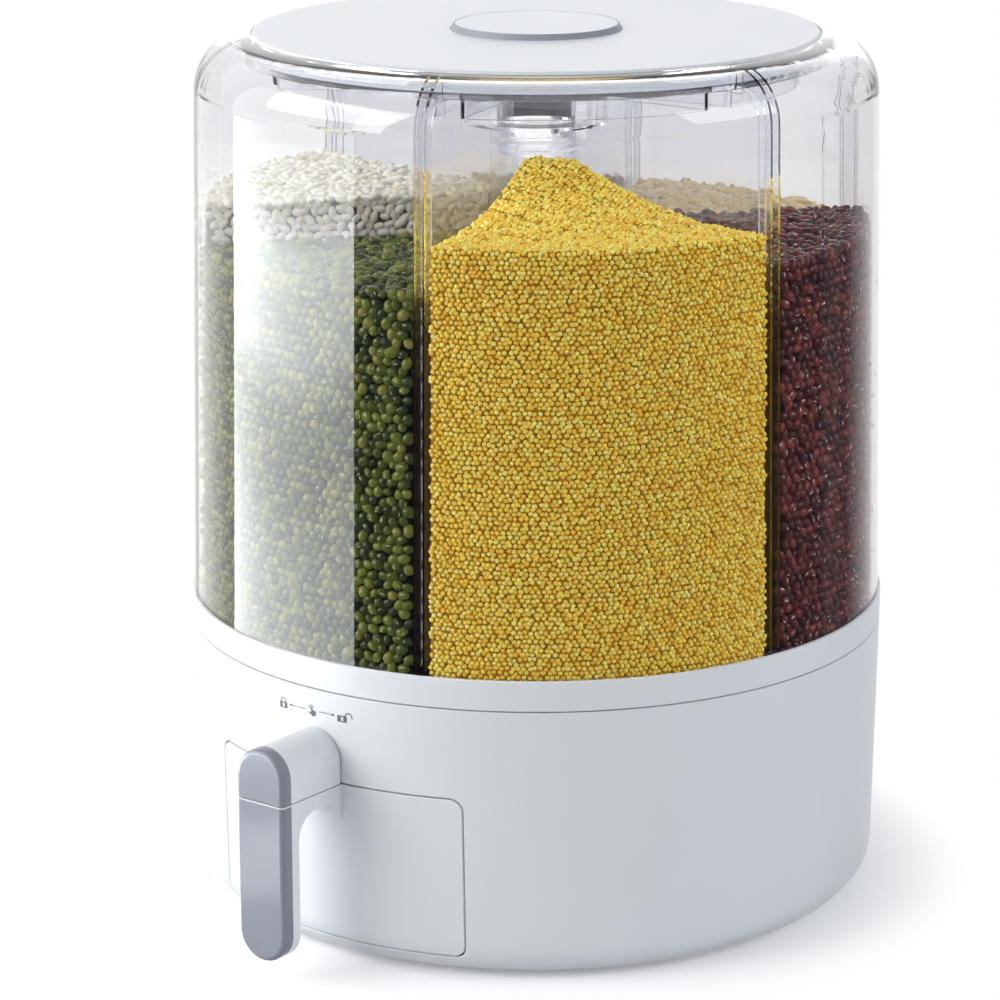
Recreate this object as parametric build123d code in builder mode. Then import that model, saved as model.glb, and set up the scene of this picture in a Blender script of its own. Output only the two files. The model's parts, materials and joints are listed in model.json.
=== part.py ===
from build123d import *
import os
from math import cos, hypot, radians, sin, sqrt

os.makedirs("parts", exist_ok=True)

# Rotating grain dispenser, in millimetres.
# Z is up, the table is at z = 0 and the barrel turns about Z. The drawer and its handle
# face -Y. An azimuth is counted from -Y towards +X, in degrees.

# Base housing
foot_h = 2.0
base_rim_r = 151.0
base_taper = 2.0
base_round = 15.5
base_wall = 2.8
base_top_z = 118.5
plate_inset = 28.0
plate_t = 2.5
plate_gap = 0.2
flange_w = 8.0
flange_t = 2.4
seam_round = 0.5
panel_edge = 0.4

# Feet and base screws
foot_r = 9.0
foot_inset = 17.0
foot_peg_r = 3.0
foot_count = 4
foot_azimuth = 45.0
foot_edge = 0.5
base_screw_count = 4
base_screw_azimuth = 52.0
base_screw_inset = 3.8
base_screw_head_r = 3.0
base_screw_length = 9.0
thread_r = 1.5
boss_r = 4.2
boss_depth = 6.5
press_gap = 0.02
tangent_room = 0.1
weld = 0.6

# Deck that closes the base under the barrel
deck_drop = 21.0
deck_t = 3.5
deck_gap = 0.4
ledge_w = 8.0
ledge_t = 3.4
ledge_break_half_x = 38.0
deck_screw_count = 4
deck_screw_azimuth = 50.0
deck_screw_inset = 4.6
deck_screw_head_r = 2.8
deck_screw_head_h = 1.5
deck_screw_length = 8.0
deck_boss_depth = 9.5

# Ball races under the barrel
race_inset = 16.0
race_half_w = 7.0
race_lift = 3.0
upper_race_half_w = 6.0
ball_r = 4.0
ball_gap = 0.05
ball_count = 18
ball_rise = 1.5
cage_half_w = 5.5
cage_t = 2.0
pocket_gap = 0.25

# Spindle that the barrel turns on
spindle_r = 8.0
spindle_gap = 0.05
spindle_flange_r = 13.0
spindle_flange_t = 3.0
spindle_h = 41.5
bush_wall = 3.0
bush_flange_r = 13.5
bush_flange_t = 3.0
bush_lift = 0.4
washer_r = 13.5
washer_t = 1.5
spindle_screw_r = 3.0
spindle_screw_head_r = 5.5
spindle_screw_head_h = 3.5
spindle_screw_length = 18.0

# Rotating tray with its white band and six outlets
compartments = 6
divider_azimuth = 18.4
seam_gap = 0.5
band_h = 12.6
band_lip = 1.5
spigot_depth = 7.8
spigot_gap = 0.2
tray_t = 2.5
tray_lift = 5.0
tray_flat_half_w = 14.0
hub_rise = 25.5
hub_shelf_r = 21.0
hub_boss_wall = 3.0
hub_boss_top_gap = 0.7
skirt_depth = 7.0
skirt_t = 2.4
skirt_gap = 3.2

# Outlet, gate and chute
outlet_l = 26.0
outlet_w = 16.0
seal_w = 5.5
seal_gap = 0.3
gate_play = 0.4
gate_t = 2.6
gate_arm = 34.0
gate_pin_r = 3.0
gate_pin_gap = 0.06
gate_half_angle = 50.0
gate_turn = 30.0
gate_tip = 14.5
gate_tail = 15.5
gate_tail_half_w = 5.2
drive_inset = 10.2
drive_arm = 12.0
drive_pin_r = 2.0
drive_pin_gap = 0.45
drive_pin_foot = 1.2
chute_plate_t = 2.0
chute_drop = 10.6
chute_wall = 2.0
chute_edge = 5.0
chute_inner_x = 32.0
chute_inner_reach = 30.0
chute_outer_x = 56.0
chute_outer_reach = 29.0
chute_post_r = 4.0
chute_screw_head_r = 2.6
chute_screw_head_h = 1.4
chute_screw_length = 5.5

# Lever that works the gate
carrier_h = 9.8
carrier_t = 2.0
carrier_gap = 0.5
carrier_half_x = 20.5
shelf_t = 2.9
shelf_w = 6.5
shelf_half_x = 36.0
shelf_gap = 0.3
lever_turn = 2.8
slot_gap = 0.26
slot_h = 6.0
slot_corner = 0.5
stem_half_x = 2.8
stem_h = 5.0
stem_low = 0.4
arm_t = 2.0
arm_under_gate = 0.6
arm_half_x = 4.0
lever_wall_gap = 0.35
lever_screw_r = 1.25
lever_screw_head_r = 2.0
lever_screw_rise = 2.1
lever_screw_head_h = 1.4
lever_screw_length = 9.0

# Handle, shared by the lever above the split and the drawer below it
handle_w = 24.6
handle_reach = 36.0
grip_t = 5.6
grip_back_t = 4.4
grip_low_z = 11.0
arch_h = 22.25
split_gap = 0.5
shelf_over_split = 0.6
grip_edge = 2.0
grip_lip = 0.6
grip_lip_inset = 0.1
insert_gap = 0.05
neck_h = 6.2
neck_round = 11.0
neck_flare = 8.0

# Drawer
panel_half_x = 64.0
panel_low_z = 11.0
panel_corner = 5.0
panel_gap = 0.6
panel_t = 3.2
box_side_inset = 7.0
box_panel_gap = 13.8
box_back_r = 50.0
box_under_chute = 6.0
box_over_panel = 1.2
box_wall = 2.0
box_corner = 8.0
drawer_boss_x = 38.0
drawer_boss_r = 4.5
drawer_screw_head_r = 2.8
drawer_screw_head_h = 1.5
drawer_screw_length = 9.0
runner_gap = 0.3
runner_w = 8.0
runner_side_h = 4.0
runner_side_t = 2.4

# Clear barrel
barrel_step = 1.0
barrel_taper = 4.4
barrel_h = 241.9
barrel_wall = 2.8
shoulder_r = 24.0
rim_inset = 23.9
rim_step = 2.5
rim_gap = 0.7
rim_seat_w = 2.1
collar_wall = 3.8
collar_depth = 8.0
rib_t = 1.2
rib_depth = 7.0
rib_gap = 0.3

# Dividers
divider_t = 2.4
divider_gap = 0.3
divider_top_drop = 6.0
divider_notch_drop = 12.2
hub_tube_r = 20.0
hub_tube_wall = 2.0
hub_tube_under_cup = 3.0
cup_notch_gap = 2.0

# Lid
lid_t = 3.2
lid_lift_gap = 0.3
lid_edge = 1.2
inner_plate_t = 2.4
inner_plate_gap = 2.6
inner_lip_t = 2.2
inner_lip_depth = 6.5
seal_ring_fit = 0.1
seal_ring_gap = 0.3
seal_ring_h = 4.6
wedge_inset = 5.0
wedge_in_r = 37.0
wedge_side = 5.0
wedge_t = 1.8
wedge_depth = 16.0
wedge_corner = 5.0
cup_r = 31.0
cup_wall = 2.0
cup_depth = 38.0
well_r = 17.0
well_wall = 1.8
well_depth = 47.0

# Button in the middle of the lid
button_r = 36.6
button_gap = 0.4
button_top_r = 34.7
button_rise = 2.4
button_cap_t = 1.2
button_seat = 0.3
stem_r = 12.5
stem_wall = 1.6
stem_depth = 40.0

# Grain: its depth over the barrel's foot at the wall, and its rise towards the hub
fill_gap = 0.35
fill_hub_r = 33.0
mung_bean_depth = 157.4
mung_bean_rise = 1.0
millet_depth = 176.4
millet_rise = 16.0
adzuki_bean_depth = 162.4
adzuki_bean_rise = 2.0
oat_depth = 153.9
oat_rise = 2.0
buckwheat_depth = 153.9
buckwheat_rise = 2.0
white_bean_depth = 172.4
white_bean_rise = 1.0
fills = [
    ("mung_bean_fill", mung_bean_depth, mung_bean_rise),
    ("millet_fill", millet_depth, millet_rise),
    ("adzuki_bean_fill", adzuki_bean_depth, adzuki_bean_rise),
    ("oat_fill", oat_depth, oat_rise),
    ("buckwheat_fill", buckwheat_depth, buckwheat_rise),
    ("white_bean_fill", white_bean_depth, white_bean_rise),
]

# Radii that follow from the sizes above
base_foot_r = base_rim_r - base_taper
plate_r = base_foot_r - plate_inset
flange_in_r = plate_r - flange_w
foot_ring_r = plate_r - foot_inset
base_screw_ring_r = plate_r - base_screw_inset
band_r = base_rim_r
drive_r = base_rim_r - base_wall - drive_inset
gate_pivot_r = drive_r - drive_arm
outlet_r = gate_pivot_r - gate_arm
chute_inner_r = outlet_r - chute_inner_reach
chute_outer_r = outlet_r + chute_outer_reach
tray_flat_in_r = outlet_r - tray_flat_half_w
tray_flat_out_r = outlet_r + tray_flat_half_w
race_r = tray_flat_in_r - race_inset
handle_front_r = base_rim_r + handle_reach
barrel_foot_r = band_r - barrel_step
barrel_crown_r = barrel_foot_r - barrel_taper
rim_r = barrel_crown_r - rim_inset
lid_r = rim_r - rim_gap
collar_in_r = rim_r - rim_seat_w
collar_out_r = collar_in_r + collar_wall
inner_plate_r = collar_in_r - inner_plate_gap
wedge_out_r = inner_plate_r - wedge_inset
inner_panel_r = base_foot_r - panel_t
box_front_r = inner_panel_r - box_panel_gap
box_half_x = panel_half_x - box_side_inset
wall_foot_in_r = barrel_foot_r - barrel_wall
crown_in_r = barrel_crown_r - barrel_wall
spigot_r = band_r - band_lip - spigot_gap
hub_bore_r = spindle_r + spindle_gap + bush_wall
hub_boss_r = hub_bore_r + hub_boss_wall
grip_back_r = handle_front_r - grip_t
finger_gap_r = grip_back_r - grip_back_t

# Levels that follow from the sizes above
deck_top_z = base_top_z - deck_drop
deck_low_z = deck_top_z - deck_t
gate_top_z = deck_low_z - gate_play
gate_low_z = gate_top_z - gate_t
chute_top_z = gate_low_z - gate_play
chute_plate_low_z = chute_top_z - chute_plate_t
chute_low_z = chute_plate_low_z - chute_drop
carrier_top_z = deck_low_z - gate_play
carrier_low_z = carrier_top_z - carrier_h
shelf_top_z = carrier_low_z - shelf_gap
shelf_low_z = shelf_top_z - shelf_t
split_z = shelf_low_z - shelf_over_split
stem_low_z = carrier_low_z + stem_low
lever_screw_z = stem_low_z + lever_screw_rise
band_low_z = base_top_z + seam_gap
band_top_z = band_low_z + band_h
tray_flat_z = deck_top_z + tray_lift
hub_shelf_z = tray_flat_z + hub_rise
ball_z = deck_top_z + race_lift + ball_rise
spindle_top_z = deck_top_z + spindle_h
bush_low_z = deck_top_z + spindle_flange_t + bush_lift
hub_boss_top_z = spindle_top_z - hub_boss_top_gap
spigot_low_z = band_top_z - spigot_depth
barrel_step_z = band_top_z + spigot_gap
crown_z = band_top_z + barrel_h
crown_in_z = crown_z - barrel_wall
rim_z = crown_z - rim_step
collar_low_z = rim_z - collar_depth
lid_low_z = rim_z + lid_lift_gap
lid_top_z = lid_low_z + lid_t
inner_top_z = lid_low_z
inner_low_z = inner_top_z - inner_plate_t
cup_low_z = inner_low_z - cup_depth
well_low_z = inner_low_z - well_depth
divider_top_z = crown_z - divider_top_drop
hub_tube_top_z = cup_low_z - hub_tube_under_cup
panel_top_z = split_z - split_gap / 2
box_top_z = chute_low_z - box_under_chute
box_low_z = panel_low_z + box_over_panel
drawer_boss_z = (box_low_z + box_top_z) / 2
runner_out_x = box_half_x + runner_gap + runner_side_t
runner_front_r = sqrt((flange_in_r - runner_gap) ** 2 - runner_out_x**2)
plate_low_z = foot_h
plate_top_z = plate_low_z + plate_t
flange_low_z = plate_top_z + plate_gap / 2
flange_top_z = flange_low_z + flange_t
compartment_angle = 360.0 / compartments
shoulder_in_round = min(shoulder_r - barrel_wall, crown_in_r - collar_out_r) - tangent_room


def base_outer_r(z):
    """Outer radius of the housing's wall at a height above its bottom rounding."""
    share = (z - foot_h - base_round) / (base_top_z - foot_h - base_round)
    return base_foot_r + (base_rim_r - base_foot_r) * share


def base_inner_r(z):
    return base_outer_r(z) - base_wall


def barrel_inner_r(z):
    """Inner radius of the clear barrel's tapered wall."""
    share = (z - band_top_z) / barrel_h
    return wall_foot_in_r + (crown_in_r - wall_foot_in_r) * share


def skin_r(z):
    """Outer radius of the housing at any height, with its bottom rounding."""
    drop = max(foot_h + base_round - z, 0)
    straight_r = base_outer_r(max(z, foot_h + base_round))
    return straight_r - base_round + sqrt(base_round**2 - drop**2)


def skin_outline(half_x, low_z, high_z):
    """The edges of the part being built that outline the drawer's front on the skin."""
    found = []
    for edge in edges():
        middle = edge @ 0.5
        on_skin = abs(hypot(middle.X, middle.Y) - skin_r(middle.Z)) < 2 * tangent_room
        in_front = middle.Y < 0 and abs(middle.X) < half_x + weld
        in_height = low_z - weld < middle.Z < high_z + weld
        between = abs(middle.Z - foot_h - base_round) < 2 * tangent_room
        if on_skin and in_front and in_height and not between:
            found.append(edge)
    return found


slot_travel = base_outer_r(stem_low_z) * sin(radians(lever_turn))
slot_half_x = stem_half_x + slot_travel + slot_gap


def radial_plane(azimuth):
    """Plane through the Z axis whose local x points out at an azimuth and whose y is up."""
    out = Vector(sin(radians(azimuth)), -cos(radians(azimuth)), 0)
    return Plane(origin=(0, 0, 0), x_dir=out, z_dir=out.cross(Vector(0, 0, 1)))


def ring_start(azimuth):
    """The start angle that PolarLocations needs for an azimuth."""
    return azimuth - 90


def corner(x, y):
    """The vertex of the sketch being drawn that lies nearest to a point."""
    return vertices().sort_by_distance((x, y, 0))[0]


def wedge(apex_offset, azimuth, reach):
    """A triangle whose sides run parallel to the two dividers of one compartment."""
    half = compartment_angle / 2
    apex_r = apex_offset / sin(radians(half))
    apex = Vector(apex_r * sin(radians(azimuth)), -apex_r * cos(radians(azimuth)))
    points = [apex]
    for side in (-half, half):
        a = radians(azimuth + side)
        points.append(apex + Vector(reach * sin(a), -reach * cos(a)))
    Polygon(*[(p.X, p.Y) for p in points], align=None)


def tray_floor(lift):
    """The upper line of the tray's hopper floor, raised by a gap, from the hub to the wall."""
    return [
        (hub_shelf_r, hub_shelf_z + lift),
        (tray_flat_in_r, tray_flat_z + lift),
        (tray_flat_out_r, tray_flat_z + lift),
        (spigot_r - barrel_wall, spigot_low_z + lift),
    ]


def tray_underside_z(radius):
    """Height of the tray's sloping underside between its hub and its flat floor."""
    slope = hub_rise / (tray_flat_in_r - weld - hub_shelf_r)
    return tray_flat_z - tray_t + slope * (tray_flat_in_r - weld - radius)


def screw(x, y, z, head_r, head_h, length, shank_r):
    """A pan head screw that points down, with its head seated at z."""
    with Locations((x, y, z)):
        Cylinder(head_r, head_h, align=(Align.CENTER, Align.CENTER, Align.MIN))
        Cylinder(shank_r, length, align=(Align.CENTER, Align.CENTER, Align.MAX))


def outlet(extra, mode=Mode.ADD):
    """The outlet's rounded slot at the serving place, its long side along the radius."""
    with Locations((0, -outlet_r)):
        SlotOverall(outlet_l + 2 * extra, outlet_w + 2 * extra, rotation=90, mode=mode)


def handle_outline(low, high, round_low, round_high):
    """The handle's upright outline, half round at one end."""
    radius = handle_w / 2
    with Locations((0, (low + high) / 2)):
        Rectangle(handle_w, high - low)
    if round_high:
        fillet([corner(-radius, high), corner(radius, high)], radius - press_gap)
    if round_low:
        fillet([corner(-radius, low), corner(radius, low)], radius - press_gap)


chute_posts = [
    (-chute_inner_x, -chute_inner_r),
    (chute_inner_x, -chute_inner_r),
    (-chute_outer_x, -chute_outer_r),
    (chute_outer_x, -chute_outer_r),
]


def ring_points(radius, count, azimuth):
    """Points (x, y) evenly spaced round the axis, the first one at an azimuth."""
    angles = [radians(azimuth + 360 * index / count) for index in range(count)]
    return [(radius * sin(a), -radius * cos(a)) for a in angles]


foot_points = [(0, 0)] + ring_points(foot_ring_r, foot_count, foot_azimuth)
base_screw_ring = ring_points(base_screw_ring_r, base_screw_count, base_screw_azimuth)
deck_screw_r = base_inner_r(deck_low_z) - deck_screw_inset
deck_screw_ring = ring_points(deck_screw_r, deck_screw_count, deck_screw_azimuth)

# Housing: a revolved shell with a rounded bottom edge, a rebate for the base plate, a ledge
# for the deck and a shelf that the lever's carrier slides on
with BuildPart() as base_shell:
    with BuildSketch(Plane.XZ):
        inner_foot_r = base_foot_r - base_wall
        with BuildLine():
            Polyline(
                (base_rim_r, base_top_z),
                (base_foot_r, foot_h + base_round),
                (base_foot_r, foot_h),
                (plate_r + plate_gap, foot_h),
                (plate_r + plate_gap, flange_low_z),
                (flange_in_r, flange_low_z),
                (flange_in_r, flange_top_z),
                (inner_foot_r, flange_top_z),
                (inner_foot_r, foot_h + base_round),
                (base_rim_r - base_wall, base_top_z),
                close=True,
            )
        make_face()
        fillet(corner(base_rim_r, base_top_z), seam_round)
        fillet(corner(base_foot_r, foot_h), base_round - tangent_room)
        inner_round = foot_h + base_round - flange_top_z
        fillet(corner(inner_foot_r, flange_top_z), inner_round - tangent_room)
    revolve(axis=Axis.Z)
    # Ledge for the deck
    with BuildSketch(Plane.XY.offset(deck_low_z - ledge_t)):
        Circle(base_inner_r(deck_low_z) + weld)
        Circle(base_inner_r(deck_low_z) - ledge_w, mode=Mode.SUBTRACT)
        with Locations((0, -base_rim_r / 2)):
            Rectangle(2 * ledge_break_half_x, base_rim_r, mode=Mode.SUBTRACT)
    extrude(amount=ledge_t)
    # Bosses for the deck's screws
    with BuildSketch(Plane.XY.offset(deck_low_z - ledge_t - deck_boss_depth)):
        with Locations(*deck_screw_ring):
            Circle(boss_r)
    extrude(amount=deck_boss_depth + weld)
    with BuildSketch(Plane.XY.offset(deck_low_z - ledge_t - deck_boss_depth)):
        with Locations(*deck_screw_ring):
            Circle(thread_r + press_gap)
    extrude(amount=deck_boss_depth + ledge_t, mode=Mode.SUBTRACT)
    # Bosses for the base plate's screws
    with BuildSketch(Plane.XY.offset(flange_top_z - weld)):
        with Locations(*base_screw_ring):
            Circle(boss_r)
    extrude(amount=boss_depth)
    with BuildSketch(Plane.XY.offset(flange_low_z)):
        with Locations(*base_screw_ring):
            Circle(thread_r + press_gap)
    extrude(amount=base_screw_length, mode=Mode.SUBTRACT)
    # Shelf under the lever's carrier
    with BuildSketch(Plane.XY.offset(shelf_low_z)):
        Circle(base_inner_r(shelf_low_z) + weld)
        Circle(base_inner_r(shelf_low_z) - shelf_w, mode=Mode.SUBTRACT)
        with Locations((0, -base_rim_r)):
            Rectangle(2 * shelf_half_x, base_rim_r, mode=Mode.INTERSECT)
    extrude(amount=shelf_t)
    # Slot that the lever's stem passes through
    with BuildSketch(Plane.XZ.offset(box_front_r)):
        with Locations((0, stem_low_z + stem_h / 2)):
            RectangleRounded(2 * slot_half_x, slot_h, slot_corner)
    extrude(amount=base_rim_r - box_front_r, mode=Mode.SUBTRACT)
    # Opening for the drawer's front
    with BuildSketch(Plane.XZ.offset(flange_in_r)):
        with Locations((0, (panel_low_z + panel_top_z) / 2)):
            RectangleRounded(
                2 * (panel_half_x + panel_gap),
                panel_top_z - panel_low_z + 2 * panel_gap,
                panel_corner + panel_gap,
            )
    extrude(amount=base_rim_r - flange_in_r, mode=Mode.SUBTRACT)
    opening = skin_outline(panel_half_x + panel_gap, panel_low_z - panel_gap, panel_top_z + panel_gap)
    fillet(opening, panel_edge)
base_shell.part.label = "base_shell"
export_step(base_shell.part, "parts/base_shell.step")

# Base plate with the drawer's two runners moulded on it
with BuildPart() as base_plate:
    with BuildSketch(Plane.XY.offset(plate_low_z)):
        Circle(plate_r)
        with Locations(*foot_points):
            Circle(foot_peg_r + press_gap, mode=Mode.SUBTRACT)
    extrude(amount=plate_t)
    with BuildSketch(Plane.XY.offset(plate_top_z)):
        for side in (-1, 1):
            middle_x = side * (runner_out_x - runner_w / 2)
            with Locations((middle_x, -(runner_front_r + box_back_r) / 2)):
                Rectangle(runner_w, runner_front_r - box_back_r)
    extrude(amount=box_low_z - runner_gap - plate_top_z)
    with BuildSketch(Plane.XY.offset(box_low_z - runner_gap)):
        for side in (-1, 1):
            middle_x = side * (runner_out_x - runner_side_t / 2)
            with Locations((middle_x, -(runner_front_r + box_back_r) / 2)):
                Rectangle(runner_side_t, runner_front_r - box_back_r)
    extrude(amount=runner_side_h)
    underside = Plane(origin=(0, 0, plate_low_z), x_dir=(1, 0, 0), z_dir=(0, 0, -1))
    with Locations(*[underside * Location((x, -y)) for x, y in base_screw_ring]):
        CounterSinkHole(thread_r + press_gap, base_screw_head_r + press_gap, depth=plate_t)
base_plate.part.label = "base_plate"
export_step(base_plate.part, "parts/base_plate.step")

# Rubber feet with pegs pressed into the base plate
with BuildPart() as rubber_feet:
    with BuildSketch(Plane.XY):
        with Locations(*foot_points):
            Circle(foot_r)
    extrude(amount=foot_h)
    chamfer(faces().sort_by(Axis.Z)[: len(foot_points)].edges(), foot_edge)
    with BuildSketch(Plane.XY.offset(foot_h)):
        with Locations(*foot_points):
            Circle(foot_peg_r)
    extrude(amount=plate_t)
rubber_feet.part.label = "rubber_feet"
export_step(rubber_feet.part, "parts/rubber_feet.step")

# Countersunk screws that hold the base plate
with BuildPart() as base_screws:
    with Locations(*[(x, y, plate_low_z) for x, y in base_screw_ring]):
        Cone(
            base_screw_head_r - press_gap,
            thread_r,
            base_screw_head_r - thread_r,
            align=(Align.CENTER, Align.CENTER, Align.MIN),
        )
        Cylinder(thread_r, base_screw_length, align=(Align.CENTER, Align.CENTER, Align.MIN))
base_screws.part.label = "base_screws"
export_step(base_screws.part, "parts/base_screws.step")

# Deck: a disc on the housing's ledge, with the outlet, the posts that carry the chute, and
# the holes for spindle, gate pin and screws
with BuildPart() as deck:
    with BuildSketch(Plane.XY.offset(deck_low_z)):
        Circle(base_inner_r(deck_low_z) - deck_gap)
        Circle(spindle_r + press_gap, mode=Mode.SUBTRACT)
        outlet(seal_w + press_gap, mode=Mode.SUBTRACT)
        with Locations((0, -gate_pivot_r)):
            Circle(gate_pin_r + press_gap, mode=Mode.SUBTRACT)
    extrude(amount=deck_t)
    with BuildSketch(Plane.XY.offset(chute_top_z)):
        with Locations(*chute_posts):
            Circle(chute_post_r)
    extrude(amount=deck_low_z - chute_top_z)
    with BuildSketch(Plane.XY.offset(chute_top_z)):
        with Locations(*chute_posts):
            Circle(thread_r + press_gap)
    extrude(amount=chute_screw_length - chute_plate_t, mode=Mode.SUBTRACT)
    with Locations(*[(x, y, deck_top_z) for x, y in deck_screw_ring]):
        Hole(thread_r + press_gap, depth=deck_t)
deck.part.label = "deck"
export_step(deck.part, "parts/deck.step")

# Screws that hold the deck on the housing's bosses
with BuildPart() as deck_screws:
    for x, y in deck_screw_ring:
        screw(x, y, deck_top_z, deck_screw_head_r, deck_screw_head_h, deck_screw_length, thread_r)
deck_screws.part.label = "deck_screws"
export_step(deck_screws.part, "parts/deck_screws.step")

# Soft seal let into the deck, which lines the outlet and is wiped by the tray above it
with BuildPart() as outlet_seal:
    with BuildSketch(Plane.XY.offset(deck_low_z)):
        outlet(seal_w)
        outlet(0, mode=Mode.SUBTRACT)
    extrude(amount=deck_t + tray_lift - tray_t - seal_gap)
outlet_seal.part.label = "outlet_seal"
export_step(outlet_seal.part, "parts/outlet_seal.step")

# Chute: a plate under the gate, screwed to the deck's posts, with a spout over the drawer
with BuildPart() as chute:
    with BuildSketch(Plane.XY.offset(chute_plate_low_z)):
        Polygon(*chute_posts[:2], *reversed(chute_posts[2:]), align=None)
        offset(amount=chute_edge)
        with Locations((0, -gate_pivot_r)):
            Circle(gate_pin_r + chute_wall)
    extrude(amount=chute_plate_t)
    with BuildSketch(Plane.XY.offset(chute_low_z)):
        outlet(chute_wall)
    extrude(amount=chute_drop)
    with BuildSketch(Plane.XY.offset(chute_low_z)):
        outlet(0)
        with Locations((0, -gate_pivot_r)):
            Circle(gate_pin_r + press_gap)
        with Locations(*chute_posts):
            Circle(thread_r + press_gap)
    extrude(amount=chute_top_z - chute_low_z, mode=Mode.SUBTRACT)
chute.part.label = "chute"
export_step(chute.part, "parts/chute.step")

# Screws that hold the chute, driven up from below
with BuildPart() as chute_screws:
    with Locations(*[(x, y, chute_plate_low_z) for x, y in chute_posts]):
        Cylinder(
            chute_screw_head_r,
            chute_screw_head_h,
            align=(Align.CENTER, Align.CENTER, Align.MAX),
        )
        Cylinder(thread_r, chute_screw_length, align=(Align.CENTER, Align.CENTER, Align.MIN))
chute_screws.part.label = "chute_screws"
export_step(chute_screws.part, "parts/chute_screws.step")

# Pin that the gate turns on, held by the deck above and the chute's plate below
with BuildPart() as gate_pivot_pin:
    with Locations((0, -gate_pivot_r, chute_plate_low_z)):
        Cylinder(
            gate_pin_r,
            deck_top_z - chute_plate_low_z,
            align=(Align.CENTER, Align.CENTER, Align.MIN),
        )
gate_pivot_pin.part.label = "gate_pivot_pin"
export_step(gate_pivot_pin.part, "parts/gate_pivot_pin.step")

# Gate: a fan that closes the outlet, with its hole to one side and an open fork on its tail
with BuildPart() as gate:
    with BuildSketch(Plane.XY.offset(gate_low_z)):
        fan_r = gate_pivot_r - outlet_r + gate_tip
        with BuildLine():
            fan_half = radians(gate_half_angle)
            tip_x = fan_r * sin(fan_half)
            tip_y = -gate_pivot_r + fan_r * cos(fan_half)
            Line((0, -gate_pivot_r), (tip_x, tip_y))
            ThreePointArc((tip_x, tip_y), (0, -gate_pivot_r + fan_r), (-tip_x, tip_y))
            Line((-tip_x, tip_y), (0, -gate_pivot_r))
        make_face()
        with Locations((0, -gate_pivot_r)):
            Circle(gate_pin_r + chute_wall + gate_pin_gap)
        with Locations((0, -gate_pivot_r - gate_tail / 2)):
            Rectangle(2 * gate_tail_half_w, gate_tail)
        with Locations((0, -gate_pivot_r)):
            Circle(gate_pin_r + gate_pin_gap, mode=Mode.SUBTRACT)
        fork_start_r = drive_r - drive_pin_r - drive_pin_gap
        fork_end_r = gate_pivot_r + gate_tail + weld
        with Locations((0, -(fork_start_r + fork_end_r) / 2)):
            Rectangle(
                2 * (drive_pin_r + drive_pin_gap),
                fork_end_r - fork_start_r,
                mode=Mode.SUBTRACT,
            )
        turn = radians(gate_turn)
        arm = gate_pivot_r - outlet_r
        with Locations(Location((arm * sin(turn), -gate_pivot_r + arm * cos(turn)), -gate_turn)):
            SlotOverall(outlet_l, outlet_w, rotation=90, mode=Mode.SUBTRACT)
    extrude(amount=gate_t)
gate.part.label = "gate"
export_step(gate.part, "parts/gate.step")

# Spindle: a steel post with a flange, standing on the deck
with BuildPart() as spindle:
    with Locations((0, 0, deck_low_z)):
        Cylinder(
            spindle_r,
            spindle_top_z - deck_low_z,
            align=(Align.CENTER, Align.CENTER, Align.MIN),
        )
    with Locations((0, 0, deck_top_z)):
        Cylinder(
            spindle_flange_r,
            spindle_flange_t,
            align=(Align.CENTER, Align.CENTER, Align.MIN),
        )
    with Locations(faces().sort_by(Axis.Z)[-1]):
        Hole(spindle_screw_r + press_gap, depth=spindle_screw_length)
spindle.part.label = "spindle"
export_step(spindle.part, "parts/spindle.step")

# Washer and screw that keep the barrel on the spindle
with BuildPart() as spindle_washer:
    with BuildSketch(Plane.XY.offset(spindle_top_z)):
        Circle(washer_r)
        Circle(spindle_screw_r + press_gap, mode=Mode.SUBTRACT)
    extrude(amount=washer_t)
spindle_washer.part.label = "spindle_washer"
export_step(spindle_washer.part, "parts/spindle_washer.step")

with BuildPart() as spindle_screw:
    screw(
        0,
        0,
        spindle_top_z + washer_t,
        spindle_screw_head_r,
        spindle_screw_head_h,
        spindle_screw_length,
        spindle_screw_r,
    )
    with BuildSketch(faces().sort_by(Axis.Z)[-1]):
        RegularPolygon(spindle_screw_head_r / 2, 6)
    extrude(amount=-spindle_screw_head_h / 2, mode=Mode.SUBTRACT)
spindle_screw.part.label = "spindle_screw"
export_step(spindle_screw.part, "parts/spindle_screw.step")

# Lower race: a grooved ring that lies on the deck
with BuildPart() as lower_race:
    with BuildSketch(Plane.XY.offset(deck_top_z)):
        Circle(race_r + race_half_w)
        Circle(race_r - race_half_w, mode=Mode.SUBTRACT)
    extrude(amount=race_lift)
    with BuildSketch(Plane.XZ):
        with Locations((race_r, ball_z)):
            Circle(ball_r + ball_gap)
    revolve(axis=Axis.Z, mode=Mode.SUBTRACT)
lower_race.part.label = "lower_race"
export_step(lower_race.part, "parts/lower_race.step")

# Ball cage and balls between the lower race and the upper one
with BuildPart() as ball_cage:
    with BuildSketch(Plane.XY.offset(ball_z - cage_t / 2)):
        Circle(race_r + cage_half_w)
        Circle(race_r - cage_half_w, mode=Mode.SUBTRACT)
        with PolarLocations(race_r, ball_count):
            Circle(ball_r + pocket_gap, mode=Mode.SUBTRACT)
    extrude(amount=cage_t)
ball_cage.part.label = "ball_cage"
export_step(ball_cage.part, "parts/ball_cage.step")

with BuildPart() as bearing_balls:
    with Locations((0, 0, ball_z)):
        with PolarLocations(race_r, ball_count):
            Sphere(ball_r)
bearing_balls.part.label = "bearing_balls"
export_step(bearing_balls.part, "parts/bearing_balls.step")

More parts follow.
